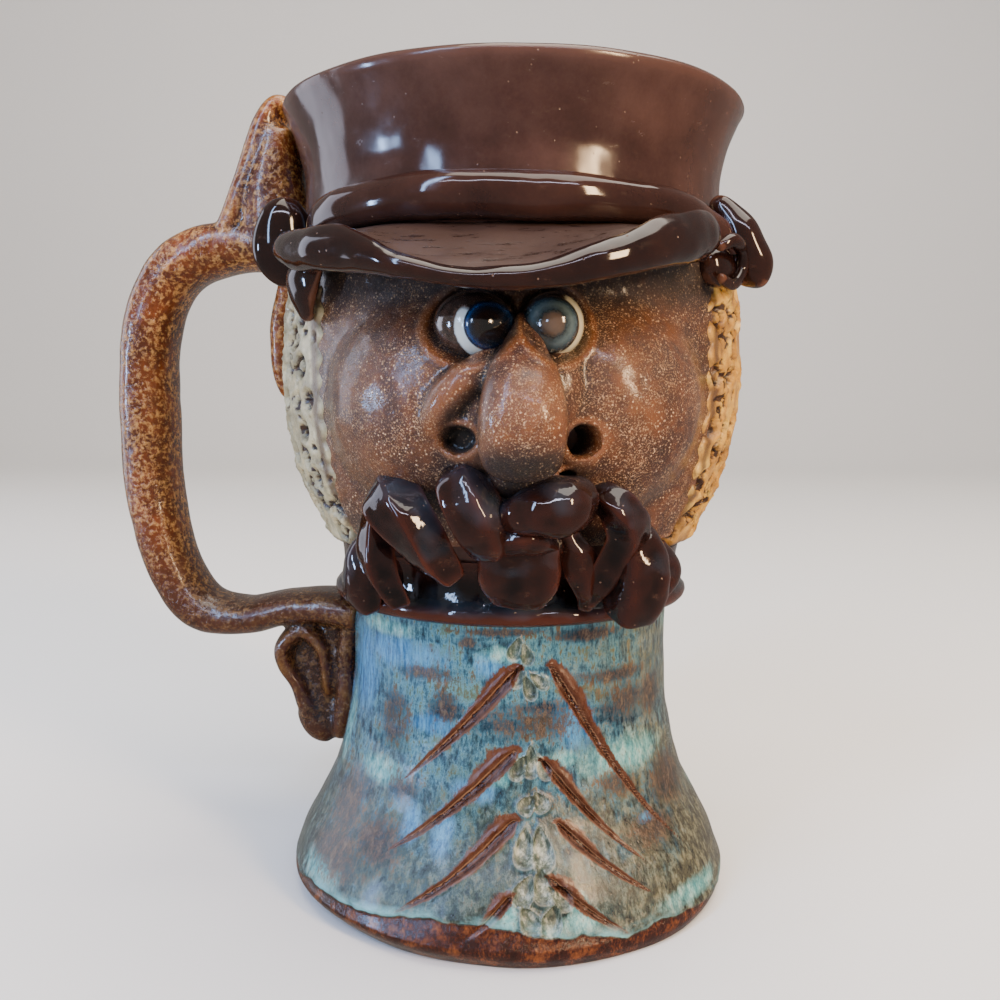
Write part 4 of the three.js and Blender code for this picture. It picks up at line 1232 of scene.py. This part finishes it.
studio = {
    "paper": "#efefed", "wide": 4.8, "front": 1.2, "deep": 1.1, "tall": 1.6, "curve": 0.5,
    "sky": "#e4dcd6", "skyStrength": 0.4, "aim": (0, 0, 0.09),
    # place, width and height, watts and colour
    "lights": {
        "window_left": ((-0.9, -0.32, 0.11), (0.07, 0.19), 3.5, "#a9ccff"),
        "window_left_high": ((-0.52, -0.6, 0.62), (0.07, 0.9), 7, "#a9ccff"),
        "window_left_back": ((-0.9, 0.3, 0.3), (0.4, 0.8), 3.5, "#e4e8ff"),
        "window_right": ((0.66, -0.72, 0.45), (0.12, 0.42), 12, "#ffd6a6"),
        "strip_over_camera": ((0.0, -0.7, 0.75), (1.0, 0.03), 4, "#e6e6ff"),
        "soft_top": ((0.25, -0.1, 1.4), (1.2, 1.2), 28, "#fff4e6"),
    },
}


def makePaper():
    selectNothing()
    bpy.ops.mesh.primitive_grid_add(x_subdivisions=4, y_subdivisions=60, size=1)
    paper = named("studio_paper")
    flat = points(paper) * mm
    front, deep, curve = studio["front"], studio["deep"], studio["curve"]
    run = (flat[:, 1] + 0.5) * (deep + studio["tall"] + curve + front) - front
    over = np.clip(run - deep, 0, None)
    bend = np.minimum(over / curve, math.pi / 2)
    y = np.minimum(run, deep) + curve * np.sin(bend)
    z = curve * (1 - np.cos(bend)) + np.clip(over - curve * math.pi / 2, 0, None)
    movePoints(paper, np.stack([flat[:, 0] * studio["wide"], y, z], axis=1) / mm)
    selectOnly(paper)
    bpy.ops.object.shade_smooth()
    paper.data.materials.append(shade(newMaterial("matt_paper")[0], rgb(studio["paper"]), 0.9))
    paper.visible_glossy = False  # the mug stood on a dark table, so its glaze mirrors no pale floor


def makeLight(name, place, size, power, colour):
    light = bpy.data.lights.new(name, "AREA")
    light.shape = "RECTANGLE"
    light.size, light.size_y = size
    light.energy = power
    light.color = rgb(colour)[:3]
    lamp = bpy.data.objects.new(name, light)
    bpy.context.collection.objects.link(lamp)
    lamp.location = place
    lamp.rotation_euler = (Vector(studio["aim"]) - Vector(place)).to_track_quat("-Z", "Y").to_euler()


makePaper()
for lightName, light in studio["lights"].items():
    makeLight(lightName, *light)
world = bpy.data.worlds.new("studio")
world.use_nodes = True
world.node_tree.nodes["Background"].inputs["Color"].default_value = rgb(studio["sky"])
world.node_tree.nodes["Background"].inputs["Strength"].default_value = studio["skyStrength"]
bpy.context.scene.world = world
print("studio lit")


# Camera: worked out from the rim, foot and sides in the photograph. Turn, down and roll are degrees.

view = {
    "turn": -1.0, "side": -2.19, "distance": 218.15, "height": 105.17,
    "down": 6.383, "roll": 0.361, "lens": 36.499,
}


def makeCamera():
    data = bpy.data.cameras.new("camera")
    data.sensor_width = 36
    data.lens = view["lens"]
    data.clip_start = 0.01
    camera = bpy.data.objects.new("camera", data)
    bpy.context.collection.objects.link(camera)
    turn = Matrix.Rotation(math.radians(view["turn"]), 4, "Z")
    place = Matrix.Translation(Vector((view["side"], -view["distance"], view["height"])) * mm)
    tilt = Matrix.Rotation(math.radians(90 - view["down"]), 4, "X")
    roll = Matrix.Rotation(math.radians(view["roll"]), 4, "Z")
    camera.matrix_world = turn @ place @ tilt @ roll
    bpy.context.scene.camera = camera


makeCamera()
